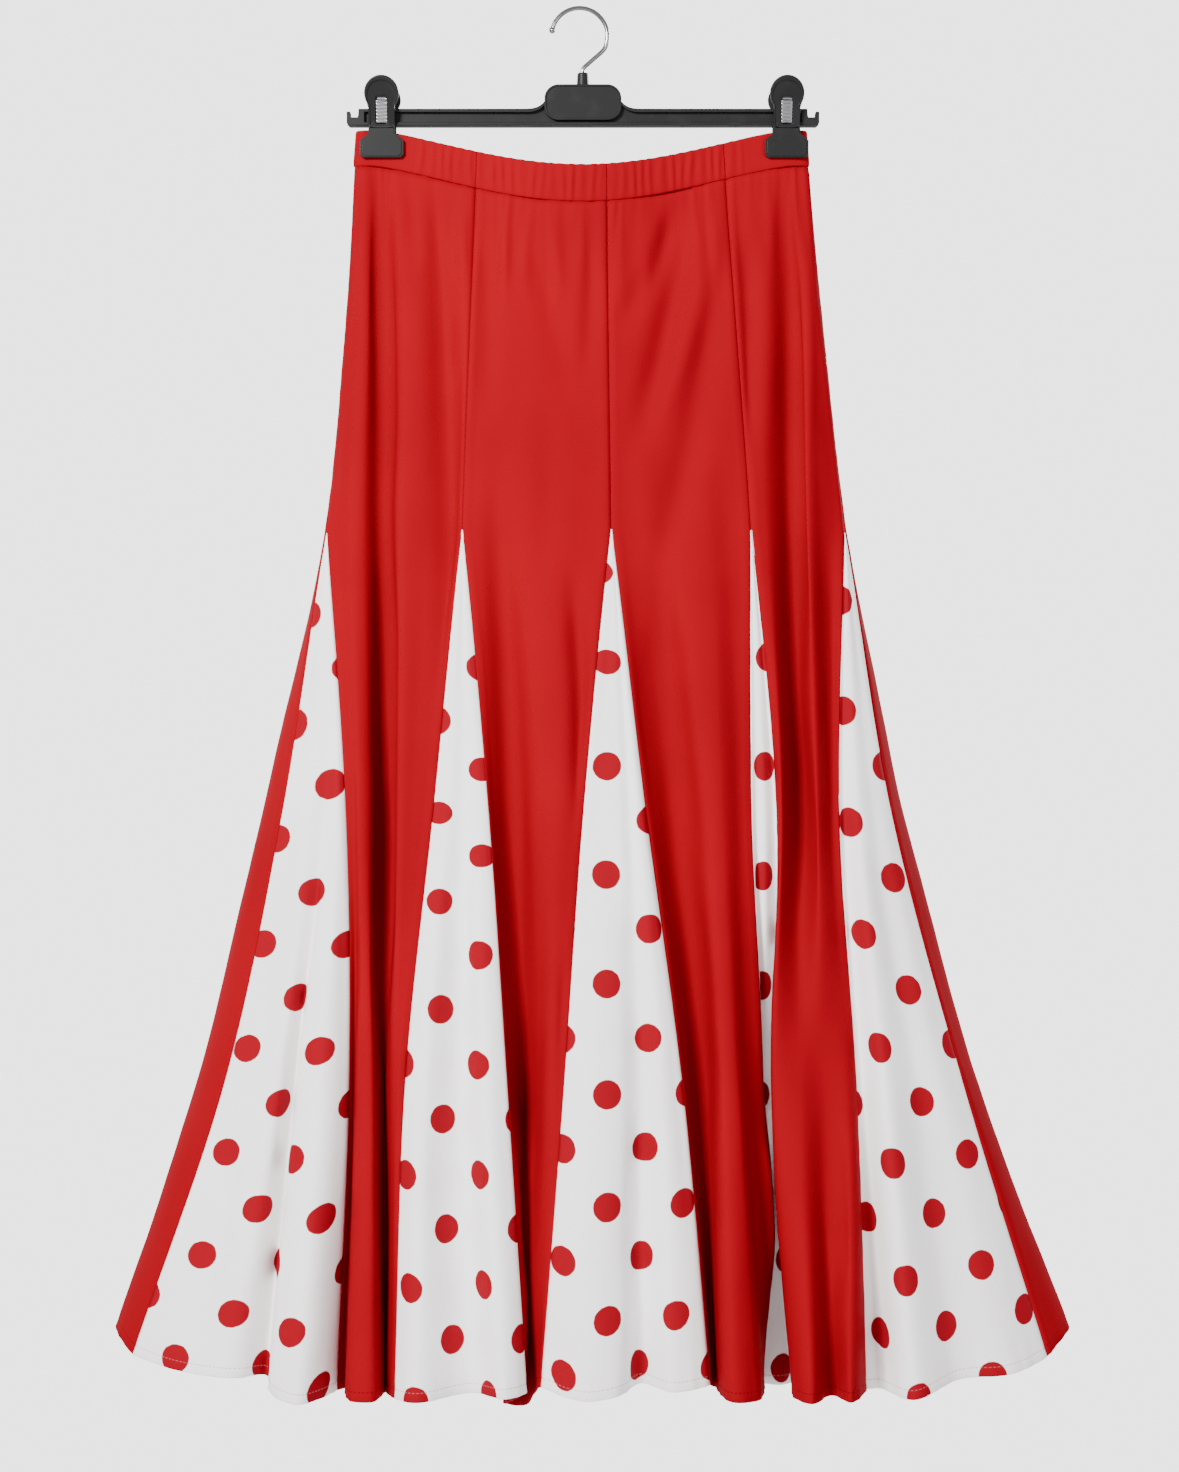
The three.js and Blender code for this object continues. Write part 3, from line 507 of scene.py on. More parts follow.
cloth = {
    "rowsPerStation": (24, 26, 32, 32, 36),
    "goreSteps": 10,
    "godetSteps": 12,
    "tip": 0.006,  # how far below its apex a godet starts, in stations
    "thickness": 0.9,
    "turnedUnder": 1.3,  # how far behind the face a seam allowance or turned-up hem lies
    "underColumns": (0, 1, 3),  # columns from a seam that its allowance lies under
    "topRows": (2, 0),  # rows that its turned-in top lies under
    "hemTurns": (60, 120, 180),  # degrees round the hem's edge
    "edgeInset": 0.7,  # share of the seam's gap that an edge keeps from it
    "offHem": -0.01,  # the hem map's height where no stitch shows
}
rowPlaces = [i + k / n for i, n in enumerate(cloth["rowsPerStation"]) for k in range(n)] + [float(hem)]
apexRow = rowPlaces.index(float(apex))


def rowsOf(name):
    isGodet = name.startswith("godet")
    lines = wholeLines(name)
    places = list(rowPlaces)
    if isGodet:
        places = [apex + cloth["tip"]] + places[apexRow + 1 :]
    rows = []
    for s in places:
        knots = [pointOn(line, s, isGodet or i in (0, len(lines) - 1)) for i, line in enumerate(lines)]
        rows.append(rowThrough(knots, cloth["godetSteps"] if isGodet else cloth["goreSteps"]))
    if not isGodet:
        for point in rows[0]:
            point.z = bandBottom(point.x) - seamGap / 2
    return rows


def arcsOf(points):
    arcs = [0.0]
    for a, b in zip(points, points[1:]):
        arcs.append(arcs[-1] + (b - a).length)
    return arcs


def directionAt(path, i):
    return (path[min(len(path) - 1, i + 1)] - path[max(0, i - 1)]).normalized()


surfaces = {name: rowsOf(name) for name in ring}
print("skirt surfaces laid out")


def neighbourRow(name, r, way):
    isGodet = name.startswith("godet")
    i = ring.index(name)
    s = rowPlaces[r]
    step = way if isGodet or s > apex else 2 * way
    beside = ring[(i + step) % len(ring)]
    return surfaces[beside][r - (apexRow if beside.startswith("godet") else 0)]


# For each point of a panel: the way along its row, the way out and the arc length from both seams
def framesOf(name):
    rows = surfaces[name]
    first = apexRow if name.startswith("godet") else 0
    frames = []
    for r, row in enumerate(rows):
        left, right = neighbourRow(name, r + first, -1), neighbourRow(name, r + first, 1)
        arcs = arcsOf(row)
        line = []
        for c, point in enumerate(row):
            before = row[c - 1] if c > 0 else left[-2]
            after = row[c + 1] if c + 1 < len(row) else right[1]
            along = ((point - before).normalized() + (after - point).normalized()).normalized()
            down = rows[min(len(rows) - 1, r + 1)][c] - rows[max(0, r - 1)][c]
            outward = down.cross(along).normalized()
            spot = {"point": point, "along": along, "out": outward}
            line.append(dict(spot, left=arcs[c], right=arcs[-1] - arcs[c]))
        frames.append(line)
    return frames


# Relief of the cloth, outward in millimetres. Bare numbers inside a noise call only choose its place and scale.
gathers = {
    "pitch": 7.8, "height": 1.0, "sharpness": 1.3, "reach": 170, "fade": 24, "rise": 4, "wander": 0.62,
    "least": 0.15, "usual": 0.75, "mergeTo": 2.4, "mergedHeight": 1.9, "mergedAt": 44, "mergedSpan": 34,
}
waves = [{"height": 1.5, "across": 46, "down": 150}, {"height": 0.3, "across": 15, "down": 34}]
seam = {
    "fade": 7, "groove": 0.6, "grooveHalf": 0.9, "ridge": 0.3, "ridgeAt": 4.5, "ridgeHalf": 2.4, "pucker": 0.16,
    "puckerPitch": 8.5,
}
hemline = {
    "stitch": 6.2, "groove": 0.28, "grooveHalf": 1.6, "pucker": 0.42, "puckerPitch": 17, "wander": 0.6, "fade": 16,
    "reach": 40,
}

# Soft folds and creases of a panel: ends in the front view, half width and depth; a ridge has a negative depth
creaseForm = {"bow": 4, "past": 0.1, "fadeIn": 0.4, "fadeOut": 0.5}
creases = {}
creases["gore_front_right"] = [
    ((76, -150), (32, -250), 9, 5.0),
    ((60, -158), (42, -240), 6, -2.0),
    ((83, -158), (41, -350), 11, 6.6),
    ((103, -190), (58, -330), 9, -2.6),
    ((108, -190), (60, -450), 13, 5.6),
    ((46, -330), (50, -520), 11, -2.4),
    ((56, -420), (84, -710), 12, 6.0),
    ((82, -670), (92, -900), 9, 6.0),
    ((138, -860), (143, -1000), 6, -6.5),
]
creases["gore_front_left"] = [
    ((-40, -178), (-6, -320), 11, 2.4),
    ((-74, -170), (-74, -330), 9, 2.8),
    ((3, -180), (4, -300), 8, 3.0),
    ((-24, -300), (-36, -480), 12, 1.8),
    ((-64, -390), (-48, -750), 10, 6.0),
    ((-6, -440), (0, -640), 8, 7.0),
    ((-10, -740), (-9, -900), 8, 6.0),
    ((-47, -850), (-42, -1050), 8, -9.0),
]
creases["gore_front_left_side"] = [
    ((-111, -145), (-101, -560), 11, 9.0),
    ((-96, -150), (-94, -300), 7, -1.6),
    ((-157, -136), (-153, -430), 10, 8.5),
    ((-153, -370), (-151, -800), 8, 9.0),
]
creases["gore_front_right_side"] = [
    ((128, -150), (124, -360), 8, 4.0),
    ((142, -150), (143, -360), 8, -2.4),
    ((164, -138), (164, -560), 9, 6.5),
    ((166, -540), (172, -740), 8, 3.0),
    ((172, -150), (174, -380), 6, -1.8),
    ((191, -400), (200, -700), 7, 3.6),
    ((190, -850), (196, -1000), 9, 4.0),
]
creases["gore_back_right"] = [((96, -200), (54, -350), 11, 2.4), ((40, -190), (70, -330), 10, 1.8)]
creases["gore_back_left"] = [((-70, -190), (-30, -340), 11, 2.4), ((-20, -200), (-60, -330), 9, 1.8)]
creases["gore_back_right_side"] = [((160, -190), (134, -330), 10, 2.0), ((180, -420), (226, -640), 12, 2.2)]
creases["gore_back_left_side"] = [((-150, -190), (-126, -330), 10, 2.0), ((-170, -420), (-214, -640), 12, 2.2)]
creases["godet_front_centre"] = [((20, -640), (40, -800), 9, 1.6), ((50, -840), (20, -1010), 10, 1.6)]
creases["godet_front_left"] = [((-104, -660), (-80, -800), 8, 1.4), ((-116, -840), (-94, -1000), 9, 1.6)]
creases["godet_side_left"] = [((-214, -660), (-248, -820), 11, 1.8), ((-262, -860), (-290, -1010), 11, 1.8)]
creases["godet_side_right"] = [((222, -640), (246, -780), 11, 1.6), ((262, -820), (300, -1000), 12, 2.0)]


def bell(off, half):
    return exp(-((off / half) ** 2))


def creaseAt(name, x, z):
    total = 0.0
    for (x0, z0), (x1, z1), halfWidth, depth in creases.get(name, ()):
        dx, dz = x1 - x0, z1 - z0
        long = hypot(dx, dz)
        t = ((x - x0) * dx + (z - z0) * dz) / long**2
        if not -creaseForm["past"] < t < 1 + creaseForm["past"]:
            continue
        off = ((x - x0) * dz - (z - z0) * dx) / long + creaseForm["bow"] * sin(pi * t)
        fade = smooth((t + creaseForm["past"]) / creaseForm["fadeIn"])
        fade *= smooth((1 + creaseForm["past"] - t) / creaseForm["fadeOut"])
        total -= depth * fade * bell(off, halfWidth)
    return total


def reliefAt(name, spot, column, above):
    x, y, z = spot["point"]
    apart = min(spot["left"], spot["right"])
    inner = smooth(apart / seam["fade"])
    total = creaseAt(name, x, z) * inner
    for wave in waves:
        across, down = wave["across"], wave["down"]
        total += wave["height"] * inner * noise.noise((x / across, y / across, z / down))
    below = bandBottom(x) - z
    if name.startswith("gore") and below < gathers["reach"]:
        i = ring.index(name)
        wander = gathers["wander"] * noise.noise((column["gather"] * 0.55, below / 70, i * 2.7))
        turn = 2 * pi * (column["gather"] + wander)
        strength = max(gathers["least"], gathers["usual"] + noise.noise((column["gather"] * 0.7, 3.3, i)))
        near = exp(-below / gathers["fade"]) * smooth((below + 1.2) / gathers["rise"])
        crest = (0.5 + 0.5 * cos(turn + pi)) ** gathers["sharpness"]
        total += gathers["height"] * strength * near * crest
        lift = 0.5 + 0.5 * cos(turn / gathers["mergeTo"] + 2.1 * i)
        merged = bell(below - gathers["mergedAt"], gathers["mergedSpan"])
        total += gathers["mergedHeight"] * strength * merged * lift * inner
    groove = bell(apart, seam["grooveHalf"])
    ridge = bell(apart - seam["ridgeAt"], seam["ridgeHalf"])
    ripple = sin(2 * pi * z / seam["puckerPitch"] + 4 * noise.noise((x / 60, y / 60, z / 26)))
    total += seam["ridge"] * ridge - seam["groove"] * groove
    total += seam["pucker"] * ripple * exp(-apart / seam["fade"]) * (1 - groove)
    if above < hemline["reach"]:
        wander = hemline["wander"] * noise.noise((x / 30, y / 30, 5.5))
        ripple = sin(2 * pi * (column["hem"] / hemline["puckerPitch"] + wander))
        total += hemline["pucker"] * ripple * exp(-above / hemline["fade"]) * inner
        total -= hemline["groove"] * bell(above - hemline["stitch"], hemline["grooveHalf"])
    return total


# How each godet's print lies: its stretch across and down, its slant and its shift in millimetres, then how much
# higher it lies near the top, how far down that reaches and how far it leans aside there
printFade = 150
plainPrint = (1, 1, 0, 0, 0, 0, 0, 0)
prints = {
    "godet_front_left": (1.0, 1.0, 0.02, 57, 4, 28, 150, 0),
    "godet_front_centre": (1.0, 1.0, -0.04, 69, 64, 20, -15, 13),
    "godet_front_right": (1.13, 0.98, -0.09, 17, 27, 0, 0, 0),
    "godet_side_right": (1.0, 0.95, -0.04, 42, 72, 0, 0, 0),
    "godet_back_right": (1.0, 1.02, 0.03, 12, 31, 0, 0, 0),
    "godet_back_centre": (1.0, 0.98, -0.02, 26, 17, 0, 0, 0),
    "godet_back_left": (1.0, 1.0, 0.04, 21, 52, 0, 0, 0),
    "godet_side_left": (0.86, 1.02, -0.09, 5, 1, -14, 85, 0),
}


def meshObject(bm, name):
    data = bpy.data.meshes.new(name)
    bm.to_mesh(data)
    bm.free()
    return bpy.data.objects.new(name, data)


# A grid of cloth whose points, cloth map and hem map are given row by row
def clothGrid(name, points, clothMap, hemMap):
    rows, columns = len(points), len(points[0])
    bm = bmesh.new()
    bmesh.ops.create_grid(bm, x_segments=columns - 1, y_segments=rows - 1, size=1)
    layers = [bm.loops.layers.uv.new("cloth"), bm.loops.layers.uv.new("hem")]
    spots = {}
    for vert in bm.verts:
        column = round((vert.co.x + 1) / 2 * (columns - 1))
        spots[vert] = (round((1 - vert.co.y) / 2 * (rows - 1)), column)
    for face in bm.faces:
        face.smooth = True
        for loop in face.loops:
            r, c = spots[loop.vert]
            loop[layers[0]].uv = clothMap[r][c]
            loop[layers[1]].uv = hemMap[r][c]
    for vert, (r, c) in spots.items():
        vert.co = points[r][c] * mm
    return meshObject(bm, name)


def thicken(obj, thickness):
    solid = obj.modifiers.new("thickness", "SOLIDIFY")
    solid.thickness = thickness * mm
    solid.offset = 0


# A panel with its seam allowances pressed back under it, its top turned in and its hem turned up
def panelPiece(name):
    frames = framesOf(name)
    isGodet = name.startswith("godet")
    rows, columns = len(frames), len(frames[0])
    wide, tall, slant, shiftU, shiftV, lift, reach, lean = prints.get(name, plainPrint)
    waist = frames[0][-1]["left"]
    count = max(1, round(waist / gathers["pitch"]))
    down = arcsOf([line[columns // 2]["point"] for line in frames])
    above = [[0.0] * columns for _ in range(rows)]
    for r in range(rows - 2, -1, -1):
        for c in range(columns):
            above[r][c] = above[r + 1][c] + (frames[r + 1][c]["point"] - frames[r][c]["point"]).length
    face, clothMap, hemMap = [], [], []
    for r, line in enumerate(frames):
        facePoints, clothSpots, hemSpots = [], [], []
        for c, spot in enumerate(line):
            share = frames[0][c]["left"] / waist
            column = {"gather": share * count, "hem": frames[-1][c]["left"]}
            swell = reliefAt(name, spot, column, above[r][c])
            edge = 1 if c == 0 else -1 if c == columns - 1 else 0
            inward = spot["along"] * (edge * seamGap * cloth["edgeInset"])
            facePoints.append(spot["point"] + spot["out"] * swell + inward)
            across = (spot["left"] - spot["right"]) / 2 * wide - down[r] * slant + shiftU
            nearTop = 1 - smooth((down[r] - reach) / printFade)
            clothSpots.append(((across + lean * nearTop) * mm, (down[r] * tall + shiftV - lift * nearTop) * mm))
            hemSpots.append((frames[-1][c]["left"] * mm, above[r][c] * mm))
        face.append(facePoints)
        clothMap.append(clothSpots)
        hemMap.append(hemSpots)

    allowance = cloth["underColumns"]
    order = [(c, True) for c in reversed(allowance)] + [(c, False) for c in range(columns)]
    order += [(columns - 1 - c, True) for c in allowance]
    layout = [] if isGodet else [(r, "under") for r in cloth["topRows"]]
    layout += [(r, "face") for r in range(rows)]
    layout += [(rows - 1, angle) for angle in cloth["hemTurns"]] + [(rows - 2, "under")]
    points, clothRows, hemRows = [], [], []
    for r, kind in layout:
        line = []
        for c, isUnder in order:
            point, out = face[r][c], frames[r][c]["out"]
            if isinstance(kind, int):
                turn, radius = radians(kind), cloth["turnedUnder"] / 2
                fall = (point - face[r - 1][c]).normalized()
                point = point + fall * (radius * sin(turn))
                point -= out * (radius * (1 - cos(turn)))
                point -= out * (cloth["turnedUnder"] if isUnder else 0) * 0.5
            elif isUnder or kind == "under":
                point = point - out * cloth["turnedUnder"]
            line.append(point)
        points.append(line)
        clothRows.append([clothMap[r][c] for c, _ in order])
        hidden = isinstance(kind, int) or kind == "under"
        hemRows.append([(hemMap[r][c][0], cloth["offHem"] if hidden else hemMap[r][c][1]) for c, _ in order])
    piece = clothGrid(name + "_cloth", points, clothRows, hemRows)
    thicken(piece, cloth["thickness"])
    return piece


for name in ring:
    place(panelPiece(name), name, "dotted_jersey" if name.startswith("godet") else "red_jersey")
print("panels sewn")

# Waistband: a folded casing over elastic, one length above each gore. The inside has a share of the gathers.
casing = {
    "columnsPerGather": 8, "gatherHeight": 1.0, "gatherHalfSpan": 134, "sharpness": 1.2, "wander": 0.4,
    "inside": 0.4, "settle": 12, "scallop": 0.35, "rough": 0.12, "seamGroove": 0.35, "seamColumns": 1.2,
    "below": 0.1, "above": 0.4, "edgeInset": 0.06, "thickness": 0.8,
}
# Its section, as share of the height and distance out from the middle
casingSection = [(0.0, 0.35), (0.04, 0.85)]
casingSection += [(height, 1.1) for height in (0.12, 0.26, 0.4, 0.54, 0.68, 0.82, 0.92)]
casingSection += [(0.965, 1.05), (0.99, 0.7), (1.0, 0.0), (0.99, -0.7), (0.965, -1.05)]
casingSection += [(height, -1.1) for height in (0.8, 0.5, 0.2)] + [(0.04, -0.85), (0.0, -0.35)]
gores = [name for name in ring if name.startswith("gore")]


def spaced(points, count):
    arcs = arcsOf(points)
    found, i = [], 0
    for k in range(count + 1):
        want = arcs[-1] * k / count
        while i < len(points) - 2 and arcs[i + 1] < want:
            i += 1
        share = (want - arcs[i]) / (arcs[i + 1] - arcs[i])
        found.append(points[i].lerp(points[i + 1], share))
    return found


def bandOf(gore):
    return gore.replace("gore", "waistband")


def footOf(gore):
    return [Vector((p.x, p.y, 0)) for p in surfaces[gore][0]]


def bandPiece(name):
    i = gores.index(name)
    own = footOf(name)
    before, after = footOf(gores[i - 1])[-2], footOf(gores[(i + 1) % len(gores)])[1]
    long = arcsOf(own)[-1]
    foot = spaced(own, round(long / gathers["pitch"]) * casing["columnsPerGather"])
    points, clothRows, hemRows = ([[] for _ in casingSection] for _ in range(3))
    for c, spot in enumerate(foot):
        back = foot[c - 1] if c else before
        ahead = foot[c + 1] if c + 1 < len(foot) else after
        along = ((spot - back).normalized() + (ahead - spot).normalized()).normalized()
        out = Vector((along.y, -along.x, 0))
        flat = smooth((casing["gatherHalfSpan"] - abs(spot.x)) / casing["settle"])
        turn = c / casing["columnsPerGather"]
        edge = 1 if c == 0 else -1 if c == len(foot) - 1 else 0
        for k, (height, off) in enumerate(casingSection):
            wander = casing["wander"] * noise.noise((turn * 0.55, height * 0.9, i * 3.1))
            crest = (0.5 - 0.5 * cos(2 * pi * (turn + wander))) ** casing["sharpness"]
            broad, small = noise.noise((turn * 0.6, 8.8, i)), noise.noise((turn * 0.9, height * 3, i))
            strength = max(0.2, 0.8 + broad + 0.3 * small)
            bulge = 0.45 + 0.55 * sin(pi * min(1, height))
            swell = casing["gatherHeight"] * flat * strength * crest * bulge
            swell += casing["rough"] * noise.noise((spot.x / 9, spot.y / 9, height * 4))
            groove = casing["seamGroove"] * bell(min(c, len(foot) - 1 - c), casing["seamColumns"])
            reach = off
            if off > 0:
                reach += swell - groove
            elif off < 0:
                reach -= swell * casing["inside"]
            narrow = 1 - band["topNarrowing"] * height
            x = stations["centre"][0] + (spot.x - stations["centre"][0]) * narrow
            top = bandTop(spot.x) - casing["above"] - casing["scallop"] * flat * (1 - crest)
            z = mixed(bandBottom(spot.x) + seamGap / 2 + casing["below"], top, height)
            points[k].append(Vector((x, spot.y, z)) + out * reach + along * (edge * casing["edgeInset"]))
            clothRows[k].append((long * c / (len(foot) - 1) * mm, z * mm))
            hemRows[k].append((0.0, 1.0))
    points.reverse()
    clothRows.reverse()
    piece = clothGrid(bandOf(name) + "_cloth", points, clothRows, hemRows)
    thicken(piece, casing["thickness"])
    return piece


for name in gores:
    place(bandPiece(name), bandOf(name), "red_jersey")
print("waistband sewn")


# Hanger
hook = {
    "wire": 3.4, "radius": 21.8, "centre": (-0.4, -20.1), "arcSteps": 14, "ball": 2.5, "bend": (9, -39.5),
    "tip": 168,  # degrees, as for leave
    "leave": -28, "shankX": 2.2, "shankZ": (-46.2, -50.2, -54.6),
}
bar = {
    "centreX": 2.3, "halfLength": 184, "thickness": 10, "top": -77.8, "bottom": -90.8, "flange": 2.6, "web": 3,
    "post": 14, "edge": 0.5, "crown": -70.6, "lip": 3, "lipTop": -80,
    "rampAt": 44,  # where the bar's top starts to rise to the plate
    "notch": (9.2, -85),  # how far from the bar's end it reaches and its floor
    "plate": (60, 27.8, -72.8, 11, 11.4),  # width, height, middle height, corner and thickness
    "rim": (1.6, 0.7),  # width and how far it stands out
}
# Radius and height along the socket's skin
socket = [(4.9, -60.5), (4.8, -58.6), (4.3, -50.2), (4, -49.4), (3.6, -49.2), (2.5, -49.2), (2.2, -49.6), (2.2, -55)]
clips = {
    "places": {"left": -154, "right": 160.7}, "headRadius": 13.4, "headZ": -67.6, "neckHalf": 10.35,
    "neckTuck": -94, "neckFoot": -98, "thickness": 3.4, "backY": 5.3, "padY": 5.1, "bendZ": -91, "splay": 0.25,
    "jaw": (17, -100.8, -116.4, 2.4),  # half width, top, bottom and chamfer
    "window": (4.65, 10.3, -80.1),  # half width, half height and middle height
    "squareness": 7,
}
spring = {"halfWidth": 4.35, "half": 0.45, "rib": 0.32, "ribPitch": 2.6}
# Depth and height along half of a spring, and places across it
springSide = [(-7, -89.6), (-9.1, -81), (-11, -73), (-7.2, -67.6), (0, -66)]
springAcross = (-1, -0.86, -0.6, -0.2, 0.2, 0.6, 0.86, 1)


def asPiece(bm, name, smoothFaces=False):
    bmesh.ops.recalc_face_normals(bm, faces=bm.faces)
    for face in bm.faces:
        face.smooth = smoothFaces
    for vert in bm.verts:
        vert.co *= mm
    return meshObject(bm, name)


# Rings of points joined into a closed skin, capped at both ends or joined end to end
def skin(bm, rings, capped=True):
    made = [[bm.verts.new(point) for point in one] for one in rings]
    count = len(rings[0])
    pairs = list(zip(made, made[1:])) + ([] if capped else [(made[-1], made[0])])
    for one, two in pairs:
        for k in range(count):
            bm.faces.new((one[k], one[(k + 1) % count], two[(k + 1) % count], two[k]))
    if capped:
        bm.faces.new(list(reversed(made[0])))
        bm.faces.new(made[-1])
    return made


# A flat outline in X and Z between two depths, with rounded edges
def slab(bm, outline, y0, y1, edge=0.0):
    made = skin(bm, [[Vector((x, y, z)) for x, z in outline] for y in (y0, y1)])
    if edge:
        corners = set()
        for line in made:
            for vert in line:
                corners.update(vert.link_edges)
        form = {"offset": edge, "offset_type": "OFFSET", "segments": 3, "profile": 0.5, "affect": "EDGES"}
        bmesh.ops.bevel(bm, geom=list(corners), material=-1, clamp_overlap=True, **form)


def roundedOutline(x, z, width, height, radius, steps=10):
    points = []
    for cornerX, cornerZ, start in ((1, -1, -90), (1, 1, 0), (-1, 1, 90), (-1, -1, 180)):
        for k in range(steps + 1):
            turn = radians(start + 90 * k / steps)
            px = x + cornerX * (width / 2 - radius) + radius * cos(turn)
            points.append((px, z + cornerZ * (height / 2 - radius) + radius * sin(turn)))
    return points


def turnsOf(count):
    return [2 * pi * k / count for k in range(count)]


def hookPiece():
    centreX, centreZ = hook["centre"]
    knots = []
    for k in range(hook["arcSteps"] + 1):
        turn = radians(mixed(hook["tip"], hook["leave"], k / hook["arcSteps"]))
        knots.append((centreX + hook["radius"] * cos(turn), centreZ + hook["radius"] * sin(turn)))
    knots += [hook["bend"], *((hook["shankX"], z) for z in hook["shankZ"])]
    path = rowThrough([Vector((x, 0, z)) for x, z in knots], 6)
    rings = []
    for i, point in enumerate(path):
        along = directionAt(path, i)
        across = Vector((along.z, 0, -along.x))
        offsets = [across * cos(t) + Vector((0, sin(t), 0)) for t in turnsOf(20)]
        rings.append([point + off * hook["wire"] / 2 for off in offsets])
    bm = bmesh.new()
    skin(bm, rings)
    spot = Matrix.Translation(path[0])
    bmesh.ops.create_uvsphere(bm, u_segments=28, v_segments=16, radius=hook["ball"], matrix=spot)
    return asPiece(bm, "hook_wire", True)


def topEdge(way, drop):
    half = bar["plate"][0] / 2
    start, bend = Vector((bar["rampAt"], bar["top"])), Vector((half + 3, bar["top"]))
    stop = Vector((half - 1, bar["crown"]))
    points = [Vector((bar["halfLength"] - bar["post"] + 1, bar["top"]))]
    for k in range(11):
        f = k / 10
        points.append(start * (1 - f) ** 2 + bend * (2 * f * (1 - f)) + stop * f**2)
    return [(bar["centreX"] + way * p.x, p.y - drop) for p in points]


# Share of the way in over the plate's rim, and depth behind its front
rimSection = [(0, 0.35), (0.06, 0.1), (0.2, 0), (0.8, 0), (0.95, 0.15), (1, 0.4)]


def barPiece():
    bm = bmesh.new()
    deep, x0 = bar["thickness"] / 2, bar["centreX"]
    reach = bar["halfLength"] - bar["post"]
    low, high, end = bar["bottom"], bar["top"], bar["halfLength"]
    notch, notchFloor = bar["notch"]
    for way in (-1, 1):
        top = topEdge(way, 0)
        foot = [(x0, low + 1), (top[0][0], low + 1)]
        slab(bm, [*foot, *top, (x0, bar["crown"])], -bar["web"] / 2, bar["web"] / 2)
        slab(bm, top + list(reversed(topEdge(way, bar["flange"]))), -deep, deep, bar["edge"])
        post = [(reach, low), (end - 2, low), (end, low + 2), (end, bar["lipTop"])]
        post += [(end - bar["lip"], bar["lipTop"]), (end - bar["lip"], notchFloor)]
        post += [(end - notch, notchFloor), (end - notch, high), (reach, high)]
        slab(bm, [(x0 + way * x, z) for x, z in post], -deep, deep, bar["edge"])
    foot = [(x0 - reach - 1, low), (x0 + reach + 1, low), (x0 + reach + 1, low + bar["flange"])]
    slab(bm, [*foot, (x0 - reach - 1, low + bar["flange"])], -deep, deep, bar["edge"])
    width, height, middle, corner, thick = bar["plate"]
    rim, stand = bar["rim"]
    inner = roundedOutline(x0, middle, width - 2 * rim, height - 2 * rim, corner - rim)
    outer = roundedOutline(x0, middle, width, height, corner)
    core = roundedOutline(x0, middle, width - rim, height - rim, corner - rim / 2)
    slab(bm, core, stand - thick / 2, thick / 2 - stand)
    rings = []
    for share, out in [*rimSection, (1, stand + 0.4)]:
        line = [(mixed(a[0], b[0], share), mixed(a[1], b[1], share)) for a, b in zip(outer, inner)]
        rings.append([Vector((x, out - thick / 2, z)) for x, z in line])
    back = [[Vector((p.x, -p.y, p.z)) for p in ring] for ring in reversed(rings)]
    skin(bm, rings + back, capped=False)
    x = hook["shankX"]
    skin(bm, [[Vector((x + r * cos(t), r * sin(t), z)) for t in turnsOf(40)] for r, z in socket])
    return asPiece(bm, "bar_and_plate")


# How far the lever's head and neck reach from the window's middle in a given direction
def leverReach(turn):
    x, z = cos(turn), sin(turn)
    middle = clips["window"][2]
    far = 0.0
    for k in range(600):
        reach = k * 0.05
        px, pz = x * reach, middle + z * reach
        inHead = hypot(px, pz - clips["headZ"]) <= clips["headRadius"]
        inNeck = abs(px) <= clips["neckHalf"] and clips["neckTuck"] <= pz <= clips["headZ"]
        if inHead or inNeck:
            far = reach
    return far


def windowReach(turn):
    halfWidth, halfHeight, _ = clips["window"]
    power = clips["squareness"]
    return (abs(cos(turn) / halfWidth) ** power + abs(sin(turn) / halfHeight) ** power) ** (-1 / power)


# Share of the way in to the window and depth behind the lever's front face
leverSection = [(0.0, 3.4), (0.0, 0.7), (0.025, 0.25), (0.07, 0.0), (0.2, 0.0), (0.25, 0.2), (0.27, 0.62)]
leverSection += [(0.32, 0.7), (0.92, 0.7), (0.97, 0.8), (1.0, 1.1), (1.0, 3.4)]


def leverPiece(name, x0, way):
    bm = bmesh.new()
    turns = turnsOf(120)
    limits = [(leverReach(t), windowReach(t)) for t in turns]
    front = -clips["backY"] - clips["thickness"]
    middle = clips["window"][2]
    rings = []
    for share, behind in leverSection:
        ringPoints = []
        for t, (outer, inner) in zip(turns, limits):
            reach = mixed(outer, inner, share)
            z = middle + sin(t) * reach
            lean = clips["splay"] * max(0.0, z - clips["bendZ"])
            ringPoints.append(Vector((cos(t) * reach, front + behind - lean, z)))
        rings.append(ringPoints)
    skin(bm, rings, capped=False)
    half, top, bottom, chamfer = clips["jaw"]
    side = [(clips["neckHalf"], clips["bendZ"]), (clips["neckHalf"], clips["neckFoot"]), (half - chamfer, top)]
    side += [(half, top - chamfer), (half, bottom + chamfer), (half - chamfer, bottom)]
    outline = side + [(-x, z) for x, z in reversed(side)]
    slab(bm, outline, front + 0.55, -clips["backY"], 0.35)
    inset = [(x * 0.9, z + (0.9 if z < -110 else -0.6)) for x, z in outline]
    slab(bm, inset, front, front + 1.2, 0.4)
    pad = [(1 - half, bottom + 1), (half - 1, bottom + 1), (half - 1, top - 1), (1 - half, top - 1)]
    slab(bm, pad, -clips["backY"] - 1, -clips["padY"])
    for vert in bm.verts:
        vert.co.x, vert.co.y = x0 + way * vert.co.x, way * vert.co.y
    return asPiece(bm, name)


